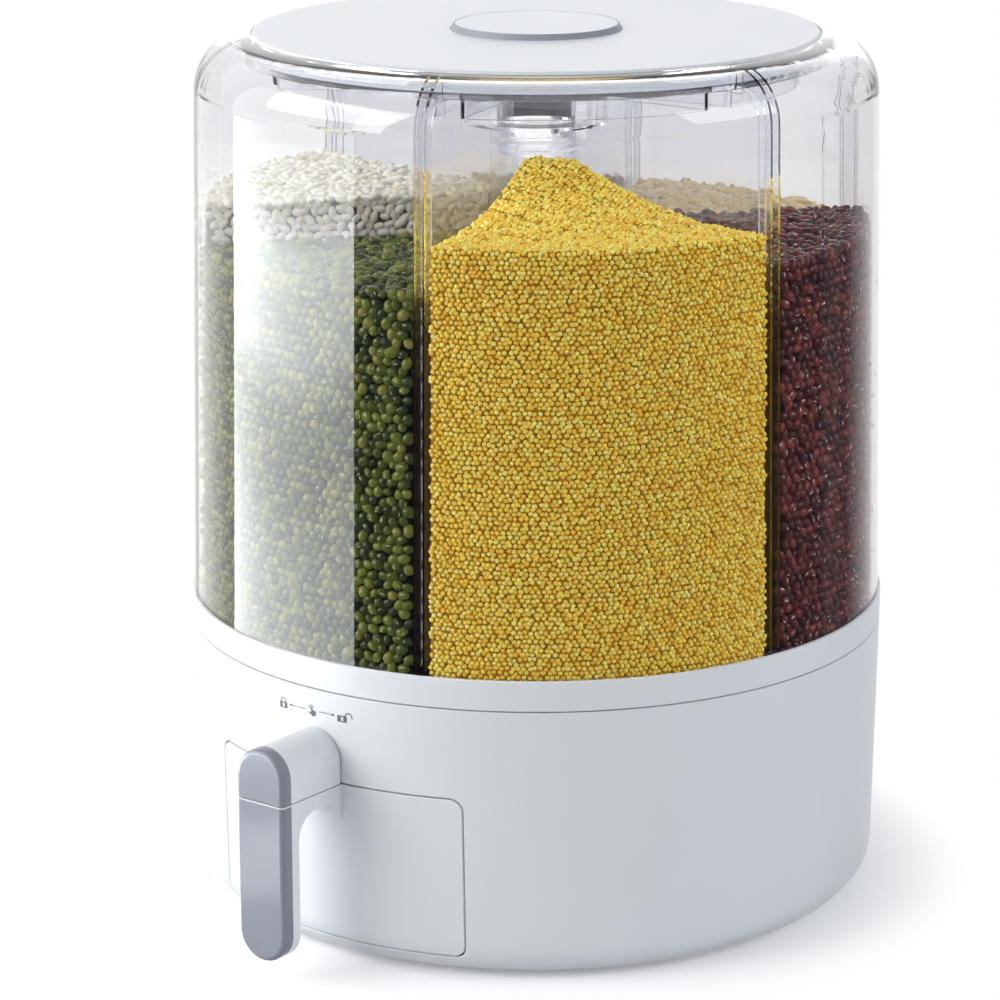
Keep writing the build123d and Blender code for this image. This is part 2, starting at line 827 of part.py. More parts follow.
# Flanged bush between the spindle and the tray's hub
with BuildPart() as hub_bush:
    with BuildSketch(Plane.XY.offset(bush_low_z)):
        Circle(bush_flange_r)
        Circle(spindle_r + spindle_gap, mode=Mode.SUBTRACT)
    extrude(amount=bush_flange_t)
    with BuildSketch(Plane.XY.offset(bush_low_z)):
        Circle(hub_bore_r)
        Circle(spindle_r + spindle_gap, mode=Mode.SUBTRACT)
    extrude(amount=hub_boss_top_z - bush_low_z)
hub_bush.part.label = "hub_bush"
export_step(hub_bush.part, "parts/hub_bush.step")

# Tray: the white band, a hopper floor that falls to six outlets, and the hub
with BuildPart() as tray:
    with BuildSketch(Plane.XZ):
        floor_line = tray_floor(0)
        hub_bore_low_z = bush_low_z + bush_flange_t + press_gap
        under_flat_z = tray_flat_z - tray_t
        ledge_in_r = spigot_r - barrel_wall
        Polygon(
            (band_r, band_low_z),
            (band_r, band_top_z),
            (band_r - band_lip, band_top_z),
            (band_r - band_lip, spigot_low_z - spigot_gap),
            (ledge_in_r, spigot_low_z - spigot_gap),
            *reversed(floor_line[:3]),
            (hub_boss_r, hub_shelf_z),
            (hub_boss_r, hub_boss_top_z),
            (hub_bore_r + press_gap, hub_boss_top_z),
            (hub_bore_r + press_gap, hub_bore_low_z),
            (hub_boss_r, hub_bore_low_z),
            (hub_boss_r, hub_shelf_z - tray_t),
            (hub_shelf_r, hub_shelf_z - tray_t),
            (tray_flat_in_r - weld, under_flat_z),
            (tray_flat_out_r + weld, under_flat_z),
            (ledge_in_r, spigot_low_z - spigot_gap - tray_t - weld),
            (ledge_in_r + weld, band_low_z),
            align=None,
        )
        fillet([corner(band_r, band_low_z), corner(band_r, band_top_z)], seam_round)
    revolve(axis=Axis.Z)
    # Skirt that hangs inside the housing's rim
    with BuildSketch(Plane.XY.offset(band_low_z - skirt_depth)):
        skirt_r = base_rim_r - base_wall - skirt_gap
        Circle(skirt_r)
        Circle(skirt_r - skirt_t, mode=Mode.SUBTRACT)
    extrude(amount=skirt_depth + weld)
    # Outlets, one in the middle of each compartment
    with BuildSketch(Plane.XY.offset(under_flat_z)):
        middle = ring_start(divider_azimuth - compartment_angle / 2)
        with PolarLocations(outlet_r, compartments, middle):
            SlotOverall(outlet_l, outlet_w)
    extrude(amount=tray_t, mode=Mode.SUBTRACT)
tray.part.label = "tray"
export_step(tray.part, "parts/tray.step")

# Upper race: a grooved ring under the tray's sloping floor
with BuildPart() as upper_race:
    with BuildSketch(Plane.XZ):
        race_low_z = ball_z + ball_rise
        in_r = race_r - upper_race_half_w
        out_r = race_r + upper_race_half_w
        Polygon(
            (in_r, race_low_z),
            (out_r, race_low_z),
            (out_r, tray_underside_z(out_r) - press_gap),
            (in_r, tray_underside_z(in_r) - press_gap),
            align=None,
        )
    revolve(axis=Axis.Z)
    with BuildSketch(Plane.XZ):
        with Locations((race_r, ball_z)):
            Circle(ball_r + ball_gap)
    revolve(axis=Axis.Z, mode=Mode.SUBTRACT)
upper_race.part.label = "upper_race"
export_step(upper_race.part, "parts/upper_race.step")

# Clear barrel: tapered wall, rounded shoulder, and a rim with a collar that the lid sits in,
# with a pair of guide ribs inside the wall at each divider
with BuildPart() as barrel:
    with BuildSketch(Plane.XZ):
        spigot_in_r = barrel_inner_r(barrel_step_z)
        Polygon(
            (spigot_in_r, spigot_low_z),
            (spigot_r, spigot_low_z),
            (spigot_r, barrel_step_z),
            (barrel_foot_r, barrel_step_z),
            (barrel_crown_r, crown_z),
            (rim_r, crown_z),
            (rim_r, rim_z),
            (collar_in_r, rim_z),
            (collar_in_r, collar_low_z),
            (collar_out_r, collar_low_z),
            (collar_out_r, crown_in_z),
            (crown_in_r, crown_in_z),
            (spigot_in_r, barrel_step_z),
            align=None,
        )
        fillet(corner(barrel_crown_r, crown_z), shoulder_r - tangent_room)
        fillet(corner(crown_in_r, crown_in_z), shoulder_in_round)
    revolve(axis=Axis.Z)
    for index in range(compartments):
        plane = radial_plane(divider_azimuth + index * compartment_angle)
        for side in (-1, 1):
            offset_y = side * (divider_t / 2 + rib_gap + rib_t / 2)
            with BuildSketch(plane.offset(offset_y)):
                low_r = barrel_inner_r(barrel_step_z)
                rib_top_z = crown_in_z - rib_depth
                rib_corner_r = barrel_inner_r(rib_top_z) - rib_depth
                Polygon(
                    (low_r - rib_depth, barrel_step_z + rib_t),
                    (low_r + weld, barrel_step_z + rib_t),
                    (crown_in_r + weld, crown_in_z + weld),
                    (collar_out_r - weld, crown_in_z + weld),
                    (collar_out_r - weld, rib_top_z),
                    (rib_corner_r, rib_top_z),
                    align=None,
                )
                fillet(corner(crown_in_r + weld, crown_in_z + weld), shoulder_in_round)
                fillet(corner(rib_corner_r, rib_top_z), shoulder_in_round - rib_depth)
            extrude(amount=rib_t / 2, both=True)
barrel.part.label = "barrel"
export_step(barrel.part, "parts/barrel.step")

# Divider insert: six upright plates round a hub tube
with BuildPart() as divider_insert:
    with BuildSketch(Plane.XY.offset(hub_shelf_z)):
        Circle(hub_tube_r)
        Circle(hub_tube_r - hub_tube_wall, mode=Mode.SUBTRACT)
    extrude(amount=hub_tube_top_z - hub_shelf_z)
    for index in range(compartments):
        with BuildSketch(radial_plane(divider_azimuth + index * compartment_angle)):
            foot_in_r = barrel_inner_r(barrel_step_z) - divider_gap
            top_in_r = crown_in_r - divider_gap
            floor_line = tray_floor(divider_gap)
            Polygon(
                (hub_tube_r - weld, hub_shelf_z + divider_gap),
                *floor_line,
                (foot_in_r, floor_line[-1][1] + weld),
                (foot_in_r, barrel_step_z),
                (top_in_r, crown_in_z - divider_gap),
                (hub_tube_r - weld, crown_in_z - divider_gap),
                align=None,
            )
            fillet(corner(top_in_r, crown_in_z - divider_gap), shoulder_in_round)
            # Room for the lid's cup, its plate and the barrel's collar
            cup_room_r = cup_r + cup_notch_gap
            collar_room_r = collar_out_r + cup_notch_gap
            notch_z = crown_z - divider_notch_drop
            Polygon(
                (0, hub_tube_top_z),
                (cup_room_r, hub_tube_top_z),
                (cup_room_r, divider_top_z),
                (wedge_out_r, divider_top_z),
                (wedge_out_r, notch_z),
                (collar_room_r, notch_z),
                (collar_room_r, crown_z),
                (0, crown_z),
                align=None,
                mode=Mode.SUBTRACT,
            )
        extrude(amount=divider_t / 2, both=True)
divider_insert.part.label = "divider_insert"
export_step(divider_insert.part, "parts/divider_insert.step")

# Grain in the compartments, heaped a little towards the hub
for index, (name, depth, rise) in enumerate(fills):
    level = band_top_z + depth
    azimuth = divider_azimuth + (index - 0.5) * compartment_angle
    with BuildPart() as grain:
        with BuildSketch(Plane.XZ):
            wall_low_r = barrel_inner_r(barrel_step_z) - fill_gap
            wall_high_r = barrel_inner_r(level) - fill_gap
            floor_line = tray_floor(fill_gap)
            hub_r = hub_tube_r + fill_gap
            with BuildLine():
                Polyline(
                    (fill_hub_r, level + rise),
                    (hub_r, level + rise),
                    (hub_r, floor_line[0][1]),
                    *floor_line,
                    (wall_low_r, barrel_step_z + fill_gap),
                    (wall_high_r, level),
                )
                ThreePointArc(
                    (wall_high_r, level),
                    ((wall_high_r + fill_hub_r) / 2, level + rise / 4),
                    (fill_hub_r, level + rise),
                )
            make_face()
        revolve(axis=Axis.Z)
        with BuildSketch(Plane.XY.offset(tray_flat_z)):
            wedge(divider_t / 2 + rib_gap + rib_t + fill_gap, azimuth, 2 * barrel_foot_r)
        extrude(amount=barrel_h, mode=Mode.INTERSECT)
    grain.part.label = name
    export_step(grain.part, f"parts/{name}.step")

# White lid disc with a round recess for the button
with BuildPart() as lid_cover:
    with BuildSketch(Plane.XY.offset(lid_low_z)):
        Circle(lid_r)
        Circle(button_r + button_gap, mode=Mode.SUBTRACT)
    extrude(amount=lid_t)
    fillet(edges().filter_by(GeomType.CIRCLE).group_by(Axis.Z)[-1].sort_by(SortBy.RADIUS)[-1],
           lid_edge)
lid_cover.part.label = "lid_cover"
export_step(lid_cover.part, "parts/lid_cover.step")

# Clear inner lid: a plate with a lip for the seal, a wedge shaped skirt that reaches into
# each compartment, and a cup and a well in the middle for the button
with BuildPart() as lid_inner:
    with BuildSketch(Plane.XY.offset(inner_low_z)):
        Circle(inner_plate_r)
        Circle(well_r - well_wall, mode=Mode.SUBTRACT)
    extrude(amount=inner_plate_t)
    with BuildSketch(Plane.XY.offset(inner_low_z - inner_lip_depth)):
        Circle(inner_plate_r)
        Circle(inner_plate_r - inner_lip_t, mode=Mode.SUBTRACT)
    extrude(amount=inner_lip_depth)
    with BuildSketch(Plane.XY.offset(cup_low_z)):
        Circle(cup_r)
        Circle(cup_r - cup_wall, mode=Mode.SUBTRACT)
    extrude(amount=cup_depth)
    with BuildSketch(Plane.XY.offset(cup_low_z)):
        Circle(cup_r)
        Circle(well_r - well_wall, mode=Mode.SUBTRACT)
    extrude(amount=cup_wall)
    with BuildSketch(Plane.XY.offset(well_low_z)):
        Circle(well_r)
        Circle(well_r - well_wall, mode=Mode.SUBTRACT)
    extrude(amount=well_depth)
    with BuildSketch(Plane.XY.offset(well_low_z)):
        Circle(well_r)
    extrude(amount=well_wall)
    for index in range(compartments):
        azimuth = divider_azimuth + (index - 0.5) * compartment_angle
        with BuildSketch(Plane.XY.offset(inner_low_z - wedge_depth)):
            wedge(wedge_side, azimuth, 2 * lid_r)
            Circle(wedge_out_r, mode=Mode.INTERSECT)
            Circle(wedge_in_r, mode=Mode.SUBTRACT)
            fillet(vertices(), wedge_corner / 2)
            offset(amount=-wedge_t, mode=Mode.SUBTRACT)
        extrude(amount=wedge_depth)
lid_inner.part.label = "lid_inner"
export_step(lid_inner.part, "parts/lid_inner.step")

# Soft grey seal round the inner lid, inside the barrel's collar
with BuildPart() as lid_seal:
    with BuildSketch(Plane.XZ):
        seal_in_r = inner_plate_r + seal_ring_fit
        seal_out_r = collar_in_r - seal_ring_gap
        lip_h = seal_ring_h / 4
        seal_mid_r = seal_in_r + (seal_out_r - seal_in_r) / 2
        seal_low_z = inner_low_z - seal_ring_h + lip_h
        Polygon(
            (seal_in_r, seal_low_z),
            (seal_out_r, seal_low_z + lip_h / 2),
            (seal_out_r, seal_low_z + lip_h),
            (seal_mid_r, seal_low_z + 1.5 * lip_h),
            (seal_mid_r, seal_low_z + 2.5 * lip_h),
            (seal_out_r, seal_low_z + 3 * lip_h),
            (seal_out_r, seal_low_z + 3.5 * lip_h),
            (seal_in_r, seal_low_z + seal_ring_h),
            align=None,
        )
    revolve(axis=Axis.Z)
lid_seal.part.label = "lid_seal"
export_step(lid_seal.part, "parts/lid_seal.step")

# Button: a grey ring with a sloping side, a white cap let into it, and a clear stem below
with BuildPart() as button_ring:
    with BuildSketch(Plane.XZ):
        ring_low_z = lid_low_z + button_seat
        ring_top_z = lid_top_z + button_rise
        cap_seat_z = ring_top_z - button_cap_t
        Polygon(
            (well_r, ring_low_z),
            (button_r, ring_low_z),
            (button_r, lid_top_z),
            (button_top_r + (button_r - button_top_r) / 3, ring_top_z),
            (button_top_r, ring_top_z),
            (button_top_r, cap_seat_z),
            (well_r, cap_seat_z),
            align=None,
        )
    revolve(axis=Axis.Z)
button_ring.part.label = "button_ring"
export_step(button_ring.part, "parts/button_ring.step")

with BuildPart() as button_cap:
    with BuildSketch(Plane.XY.offset(cap_seat_z)):
        Circle(button_top_r - press_gap)
    extrude(amount=button_cap_t)
    fillet(edges().group_by(Axis.Z)[-1], button_cap_t / 4)
button_cap.part.label = "button_cap"
export_step(button_cap.part, "parts/button_cap.step")

with BuildPart() as button_stem:
    with BuildSketch(Plane.XY.offset(cap_seat_z - stem_depth)):
        Circle(stem_r)
    extrude(amount=stem_depth)
    with BuildSketch(Plane.XY.offset(cap_seat_z - stem_depth + stem_wall)):
        Circle(stem_r - stem_wall)
    extrude(amount=stem_depth, mode=Mode.SUBTRACT)
button_stem.part.label = "button_stem"
export_step(button_stem.part, "parts/button_stem.step")

# Lever: a white arch that stands off the housing, with a stem through the housing's slot
with BuildPart() as lever_arm:
    with BuildSketch(Plane.XZ.offset(box_front_r)):
        handle_outline(split_z + split_gap / 2, split_z + arch_h, False, True)
    extrude(amount=grip_back_r - box_front_r)
    with BuildSketch(Plane.XY.offset(split_z)):
        Circle(base_outer_r(split_z + arch_h) + lever_wall_gap)
    extrude(amount=arch_h, mode=Mode.SUBTRACT)
    with BuildSketch(Plane.XZ.offset(base_inner_r(stem_low_z) - carrier_gap)):
        with Locations((0, stem_low_z + stem_h / 2)):
            Rectangle(2 * stem_half_x, stem_h)
    extrude(amount=carrier_gap + base_wall + 2 * weld + lever_wall_gap)
    with BuildSketch(Plane.XZ.offset(base_inner_r(stem_low_z) - carrier_gap)):
        with Locations((0, lever_screw_z)):
            Circle(lever_screw_r + press_gap)
    extrude(amount=lever_screw_length - carrier_t, mode=Mode.SUBTRACT)
lever_arm.part.label = "lever_arm"
export_step(lever_arm.part, "parts/lever_arm.step")

# Grey cap on the lever's front
with BuildPart() as lever_cap:
    with BuildSketch(Plane.XZ.offset(grip_back_r + insert_gap)):
        handle_outline(split_z + split_gap / 2, split_z + arch_h, False, True)
    extrude(amount=grip_t - insert_gap)
    fillet(faces().sort_by(Axis.Y)[0].edges().sort_by(Axis.Z)[1:], grip_edge)
lever_cap.part.label = "lever_cap"
export_step(lever_cap.part, "parts/lever_cap.step")

# Carrier inside the housing: a curved shield behind the slot, an arm and the drive pin
with BuildPart() as lever_carrier:
    with BuildSketch(Plane.XY.offset(carrier_low_z)):
        shield_r = base_inner_r(stem_low_z) - carrier_gap
        Circle(shield_r)
        Circle(shield_r - carrier_t, mode=Mode.SUBTRACT)
        with Locations((0, -shield_r)):
            Rectangle(2 * carrier_half_x, shield_r, mode=Mode.INTERSECT)
    extrude(amount=carrier_h)
    arm_top_z = gate_low_z - arm_under_gate
    with BuildSketch(Plane.XY.offset(arm_top_z - arm_t)):
        with Locations((0, -(drive_r + shield_r - carrier_t / 2) / 2)):
            Rectangle(2 * arm_half_x, shield_r - carrier_t / 2 - drive_r)
        with Locations((0, -drive_r)):
            Circle(drive_pin_r + drive_pin_foot)
    extrude(amount=arm_t)
    with Locations((0, -drive_r, arm_top_z)):
        Cylinder(
            drive_pin_r,
            gate_top_z - arm_top_z,
            align=(Align.CENTER, Align.CENTER, Align.MIN),
        )
    with BuildSketch(Plane.XZ.offset(shield_r - carrier_t - weld)):
        with Locations((0, lever_screw_z)):
            Circle(lever_screw_r + press_gap)
    extrude(amount=carrier_t + 2 * weld, mode=Mode.SUBTRACT)
lever_carrier.part.label = "lever_carrier"
export_step(lever_carrier.part, "parts/lever_carrier.step")

# Screw that joins the carrier to the arch, driven from inside
with BuildPart() as lever_screw:
    with BuildSketch(Plane.XZ.offset(shield_r - carrier_t)):
        with Locations((0, lever_screw_z)):
            Circle(lever_screw_r)
    extrude(amount=lever_screw_length)
    with BuildSketch(Plane.XZ.offset(shield_r - carrier_t)):
        with Locations((0, lever_screw_z)):
            Circle(lever_screw_head_r)
    extrude(amount=-lever_screw_head_h)
lever_screw.part.label = "lever_screw"
export_step(lever_screw.part, "parts/lever_screw.step")

# Drawer front: a curved panel cut from the housing's own shape, a neck and the handle's back
with BuildPart() as drawer_front:
    with BuildSketch(Plane.XZ):
        Polygon(
            (base_outer_r(panel_top_z), panel_top_z),
            (base_foot_r, foot_h + base_round),
            (base_foot_r, foot_h),
            (flange_in_r, foot_h),
            (flange_in_r, foot_h + panel_t),
            (base_foot_r - panel_t, foot_h + panel_t),
            (base_foot_r - panel_t, foot_h + base_round),
            (base_outer_r(panel_top_z) - panel_t, panel_top_z),
            align=None,
        )
        fillet(corner(base_foot_r, foot_h), base_round - tangent_room)
        fillet(
            corner(base_foot_r - panel_t, foot_h + panel_t),
            base_round - panel_t - tangent_room,
        )
    revolve(axis=Axis.Z)
    with BuildSketch(Plane.XZ.offset(base_rim_r / 2)):
        with Locations((0, (panel_low_z + panel_top_z) / 2)):
            RectangleRounded(2 * panel_half_x, panel_top_z - panel_low_z, panel_corner)
    extrude(amount=base_rim_r, mode=Mode.INTERSECT)
    fillet(skin_outline(panel_half_x, panel_low_z, panel_top_z), panel_edge)
    # Back of the handle's lower half
    with BuildSketch(Plane.XZ.offset(finger_gap_r)):
        handle_outline(grip_low_z, panel_top_z, True, False)
    extrude(amount=grip_back_t)
    # Lip over the grey front
    with BuildSketch(Plane.XY.offset(panel_top_z - grip_lip)):
        lip_r = handle_front_r - grip_lip_inset
        lip_half_x = handle_w / 2 - grip_lip_inset
        Polygon(
            (-lip_half_x, -lip_r),
            (lip_half_x, -lip_r),
            (lip_half_x, -grip_back_r + weld),
            (-lip_half_x, -grip_back_r + weld),
            align=None,
        )
        fillet([corner(-lip_half_x, -lip_r), corner(lip_half_x, -lip_r)], grip_edge)
    extrude(amount=grip_lip)
    # Neck, hollowed below towards the back and towards the panel
    with BuildSketch(Plane.YZ):
        neck_low_z = panel_top_z - neck_h
        neck_in_r = base_foot_r - panel_t / 2
        flare_r = base_outer_r(neck_low_z) + neck_flare
        with BuildLine():
            Polyline(
                (-flare_r, neck_low_z),
                (-finger_gap_r + neck_round, neck_low_z),
            )
            RadiusArc(
                (-finger_gap_r + neck_round, neck_low_z),
                (-finger_gap_r, neck_low_z - neck_round),
                -neck_round,
            )
            Polyline(
                (-finger_gap_r, neck_low_z - neck_round),
                (-finger_gap_r - weld, neck_low_z - neck_round),
                (-finger_gap_r - weld, panel_top_z),
                (-neck_in_r, panel_top_z),
                (-neck_in_r, neck_low_z - neck_flare),
                (-flare_r + neck_flare, neck_low_z - neck_flare),
            )
            RadiusArc(
                (-flare_r + neck_flare, neck_low_z - neck_flare),
                (-flare_r, neck_low_z),
                -neck_flare,
            )
        make_face()
    extrude(amount=handle_w / 2, both=True)
    # Bosses that reach back to the box
    with BuildSketch(Plane.XZ.offset(box_front_r)):
        with Locations(*[(side * drawer_boss_x, drawer_boss_z) for side in (-1, 1)]):
            Circle(drawer_boss_r)
    boss_reach = sqrt(inner_panel_r**2 - (drawer_boss_x + drawer_boss_r) ** 2) - box_front_r
    extrude(amount=boss_reach + weld)
    with BuildSketch(Plane.XZ.offset(box_front_r)):
        with Locations(*[(side * drawer_boss_x, drawer_boss_z) for side in (-1, 1)]):
            Circle(thread_r + press_gap)
    extrude(amount=drawer_screw_length - box_wall, mode=Mode.SUBTRACT)
drawer_front.part.label = "drawer_front"
export_step(drawer_front.part, "parts/drawer_front.step")

# Grey front of the handle's lower half
with BuildPart() as drawer_grip:
    with BuildSketch(Plane.XZ.offset(grip_back_r + insert_gap)):
        handle_outline(grip_low_z, panel_top_z - grip_lip - insert_gap, True, False)
    extrude(amount=grip_t - insert_gap)
    fillet(faces().sort_by(Axis.Y)[0].edges().sort_by(Axis.Z)[:-1], grip_edge)
drawer_grip.part.label = "drawer_grip"
export_step(drawer_grip.part, "parts/drawer_grip.step")

# Drawer box, open at the top
with BuildPart() as drawer_box:
    middle_y = -(box_front_r + box_back_r) / 2
    box_length = box_front_r - box_back_r
    with BuildSketch(Plane.XY.offset(box_low_z)):
        with Locations((0, middle_y)):
            RectangleRounded(2 * box_half_x, box_length, box_corner)
    extrude(amount=box_top_z - box_low_z)
    fillet(faces().sort_by(Axis.Z)[0].edges(), box_wall)
    with BuildSketch(Plane.XY.offset(box_low_z + box_wall)):
        with Locations((0, middle_y)):
            RectangleRounded(
                2 * (box_half_x - box_wall),
                box_length - 2 * box_wall,
                box_corner - box_wall,
            )
    extrude(amount=box_top_z - box_low_z, mode=Mode.SUBTRACT)
    with BuildSketch(Plane.XZ.offset(box_front_r - box_wall)):
        with Locations(*[(side * drawer_boss_x, drawer_boss_z) for side in (-1, 1)]):
            Circle(thread_r + press_gap)
    extrude(amount=box_wall, mode=Mode.SUBTRACT)
drawer_box.part.label = "drawer_box"
export_step(drawer_box.part, "parts/drawer_box.step")

# Screws that hold the drawer's front on its box
with BuildPart() as drawer_screws:
    with BuildSketch(Plane.XZ.offset(box_front_r - box_wall)):
        with Locations(*[(side * drawer_boss_x, drawer_boss_z) for side in (-1, 1)]):
            Circle(thread_r)
    extrude(amount=drawer_screw_length)
    with BuildSketch(Plane.XZ.offset(box_front_r - box_wall)):
        with Locations(*[(side * drawer_boss_x, drawer_boss_z) for side in (-1, 1)]):
            Circle(drawer_screw_head_r)
    extrude(amount=-drawer_screw_head_h)
drawer_screws.part.label = "drawer_screws"
export_step(drawer_screws.part, "parts/drawer_screws.step")
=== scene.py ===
"""Looks of the rotating grain dispenser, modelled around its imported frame."""

import json
import math

import bpy
import numpy as np
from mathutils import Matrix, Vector


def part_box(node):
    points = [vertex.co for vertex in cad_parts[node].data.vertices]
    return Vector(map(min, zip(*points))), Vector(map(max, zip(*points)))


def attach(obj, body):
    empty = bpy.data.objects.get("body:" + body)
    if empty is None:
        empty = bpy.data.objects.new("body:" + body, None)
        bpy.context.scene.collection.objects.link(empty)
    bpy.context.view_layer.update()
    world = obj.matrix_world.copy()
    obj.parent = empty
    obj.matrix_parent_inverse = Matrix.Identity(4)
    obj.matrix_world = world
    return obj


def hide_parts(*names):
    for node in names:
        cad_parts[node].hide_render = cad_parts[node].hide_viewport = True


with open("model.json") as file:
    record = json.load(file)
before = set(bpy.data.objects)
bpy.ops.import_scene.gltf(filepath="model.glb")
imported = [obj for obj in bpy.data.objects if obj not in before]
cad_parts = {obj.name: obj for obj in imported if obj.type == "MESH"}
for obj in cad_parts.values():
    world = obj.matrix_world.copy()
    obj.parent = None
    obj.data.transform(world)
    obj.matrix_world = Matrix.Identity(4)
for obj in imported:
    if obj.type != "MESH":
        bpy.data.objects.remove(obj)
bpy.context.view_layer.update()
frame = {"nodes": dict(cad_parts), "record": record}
nodes = frame["nodes"]
scene = bpy.context.scene
scene.view_settings.view_transform = "Standard"
MM = 0.001

# Camera, fitted to the rims in the photograph
VIEW_AZIMUTH = 37.0
CAMERA_DISTANCE = 1.600
CAMERA_HEIGHT = 0.608
CAMERA_PITCH = 14.0
CAMERA_LENS = 136.1
SHIFT_X = -0.0365
SHIFT_Y = -0.095

# Studio, with lengths in m and colours as red, green, blue and 1
COOL_WHITE = (0.93, 0.96, 1.0, 1)
MIDDLE = Vector((0, 0, 0.19))
WORLD_LIGHT = 0.215
ROOM_TURN = 14
ROOM_STEPS = [(0.68, (0.05, 0.052, 0.07)), (0.93, (1, 1, 1))]
ROOM_DEEP_TINT = (0.66, 0.68, 0.76, 1)
FLOOR_HALF = 6.0
FLOOR_TINT = (0.9, 0.9, 0.91, 1)
FLOOR_LIFT = 0.24
FLOOR_FADE = (0.15, 0.195)
# A ray is mirrored, or comes from deep inside, once it has more bounces of its kind than these
MIRRORED = 0.5
DEEP_FOR_CARDS = 2.5
DEEP_FOR_ROOM = 4.5

# Finish of plastic and metal: scales of noises, depths of relief in m, spans of roughness,
# and the shares of light that thin plastic passes and that a thin clear wall bends
CLOUD_SCALE = 14.0
SKIN_SCALE = 900.0
SKIN_STRENGTH = 0.35
SKIN_DEPTH = 0.00002
COAT_ROUGHNESS = 0.08
THIN_ROUGHNESS = (0.36, 0.44)
THIN_PASSES = 0.85
THIN_BENDS = 0.4
CLEAR_ROUGHNESS = 0.004
CLEAR_IOR = 1.49
WAVE_SCALE = 9.0
WAVE_STRENGTH = 0.05
WAVE_DEPTH = 0.0004
LAMP_TINT = (0.99, 0.99, 0.992, 1)
METAL_SCALE = 60.0
METAL_ROUGHNESS = (0.22, 0.38)
TINT_SPAN = (0.3, 0.7)

# Barrel and its compartments
COMPARTMENTS = 6
DIVIDER_AZIMUTH = 18.4
COMPARTMENT_ANGLE = 360.0 / COMPARTMENTS
WALL_FOOT_R = 147.2 * MM
WALL_CROWN_R = 142.8 * MM
WALL_FOOT_Z = 131.6 * MM
WALL_CROWN_Z = 373.5 * MM
FILL_LOW_Z = 124.6 * MM
FILL_SIDE_GAP = 3.05 * MM
FILL_WALL_GAP = 0.35 * MM
HUB_R = 20.4 * MM
HEAP_TOP_R = 33.0 * MM
HEAP_CURVE = 2.8
HEAP_LUMPS = 0.035
HEAP_WOBBLE = (-0.7, 0.35)
SIDE_DEPTH = 34.0 * MM
# How far inside the grains the dark mass of painted shade lies, in half-widths of a grain
PAINTED_SHADE_INSET = 1.1
STREAK_SEEN = 0.6

# Housing, for what is printed on it
BASE_FOOT_R = 149.0 * MM
BASE_RIM_R = 151.0 * MM
BASE_LOW_Z = 17.5 * MM
BASE_TOP_Z = 118.5 * MM


def direction(azimuth):
    """Horizontal unit vector at an azimuth, counted from -Y towards +X in degrees."""
    a = math.radians(azimuth)
    return Vector((math.sin(a), -math.cos(a), 0))


def place(azimuth, distance, height):
    """Point at an azimuth, at a distance from the axis and at a height."""
    return direction(azimuth) * distance + Vector((0, 0, height))


def base_r(z):
    """Radius of the housing's wall at a height."""
    share = (z - BASE_LOW_Z) / (BASE_TOP_Z - BASE_LOW_Z)
    return BASE_FOOT_R + (BASE_RIM_R - BASE_FOOT_R) * share


def wall_r(z):
    """Inner radius of the barrel's wall at a height."""
    share = (z - WALL_FOOT_Z) / (WALL_CROWN_Z - WALL_FOOT_Z)
    return WALL_FOOT_R + (WALL_CROWN_R - WALL_FOOT_R) * share


# Camera


def make_camera():
    """The photograph's point of view."""
    data = bpy.data.cameras.new("camera")
    data.sensor_width = 36.0
    data.lens = CAMERA_LENS
    data.shift_x = SHIFT_X
    data.shift_y = SHIFT_Y
    data.clip_start = 0.05
    data.clip_end = 50.0
    camera = bpy.data.objects.new("camera", data)
    scene.collection.objects.link(camera)
    camera.location = place(VIEW_AZIMUTH, CAMERA_DISTANCE, CAMERA_HEIGHT)
    ahead = -direction(VIEW_AZIMUTH)
    pitch = math.radians(CAMERA_PITCH)
    look = ahead * math.cos(pitch) - Vector((0, 0, math.sin(pitch)))
    camera.rotation_euler = look.to_track_quat("-Z", "Y").to_euler()
    scene.camera = camera


# Nodes


def feed(tree, socket, source):
    """Links an input to an output or to a node's first output, or sets it to a value."""
    if isinstance(source, bpy.types.Node):
        source = source.outputs[0]
    if isinstance(source, bpy.types.NodeSocket):
        tree.links.new(source, socket)
    else:
        socket.default_value = source


def add_node(tree, kind, inputs):
    """A new node with some of its inputs fed."""
    node = tree.nodes.new(kind)
    for key, source in inputs.items():
        feed(tree, node.inputs[key], source)
    return node


def add_math(tree, operation, first, second):
    """A value worked out from two others."""
    node = add_node(tree, "ShaderNodeMath", {0: first, 1: second})
    node.operation = operation
    return node


def add_mix(tree, share, first, second):
    """The first shader, and by a share the second."""
    return add_node(tree, "ShaderNodeMixShader", {0: share, 1: first, 2: second})


def add_range(tree, source, first, last, low=0.0, high=1.0):
    """A value brought from the span between first and last to that between low and high."""
    return add_node(tree, "ShaderNodeMapRange", {
        "Value": source, "From Min": first, "From Max": last, "To Min": low, "To Max": high})


def add_ramp(tree, source, steps):
    """A colour looked up by a value, in steps of a position from 0 to 1 and a colour."""
    ramp = add_node(tree, "ShaderNodeValToRGB", {"Fac": source})
    marks = ramp.color_ramp.elements
    while len(marks) < len(steps):
        marks.new(0.5)
    for mark, (position, colour) in zip(marks, steps):
        mark.position = position
        mark.color = (*colour, 1)
    return ramp


def new_material(name):
    """A material with its nodes and its shader."""
    material = bpy.data.materials.new(name)
    material.use_nodes = True
    tree = material.node_tree
    return material, tree, tree.nodes["Principled BSDF"]


def bare_material(name):
    """A material with nothing but its output node."""
    material, tree, shader = new_material(name)
    tree.nodes.remove(shader)
    return material, tree


def show(tree, looks):
    """Makes a shader the look of its material."""
    feed(tree, tree.nodes["Material Output"].inputs["Surface"], looks)


# Light


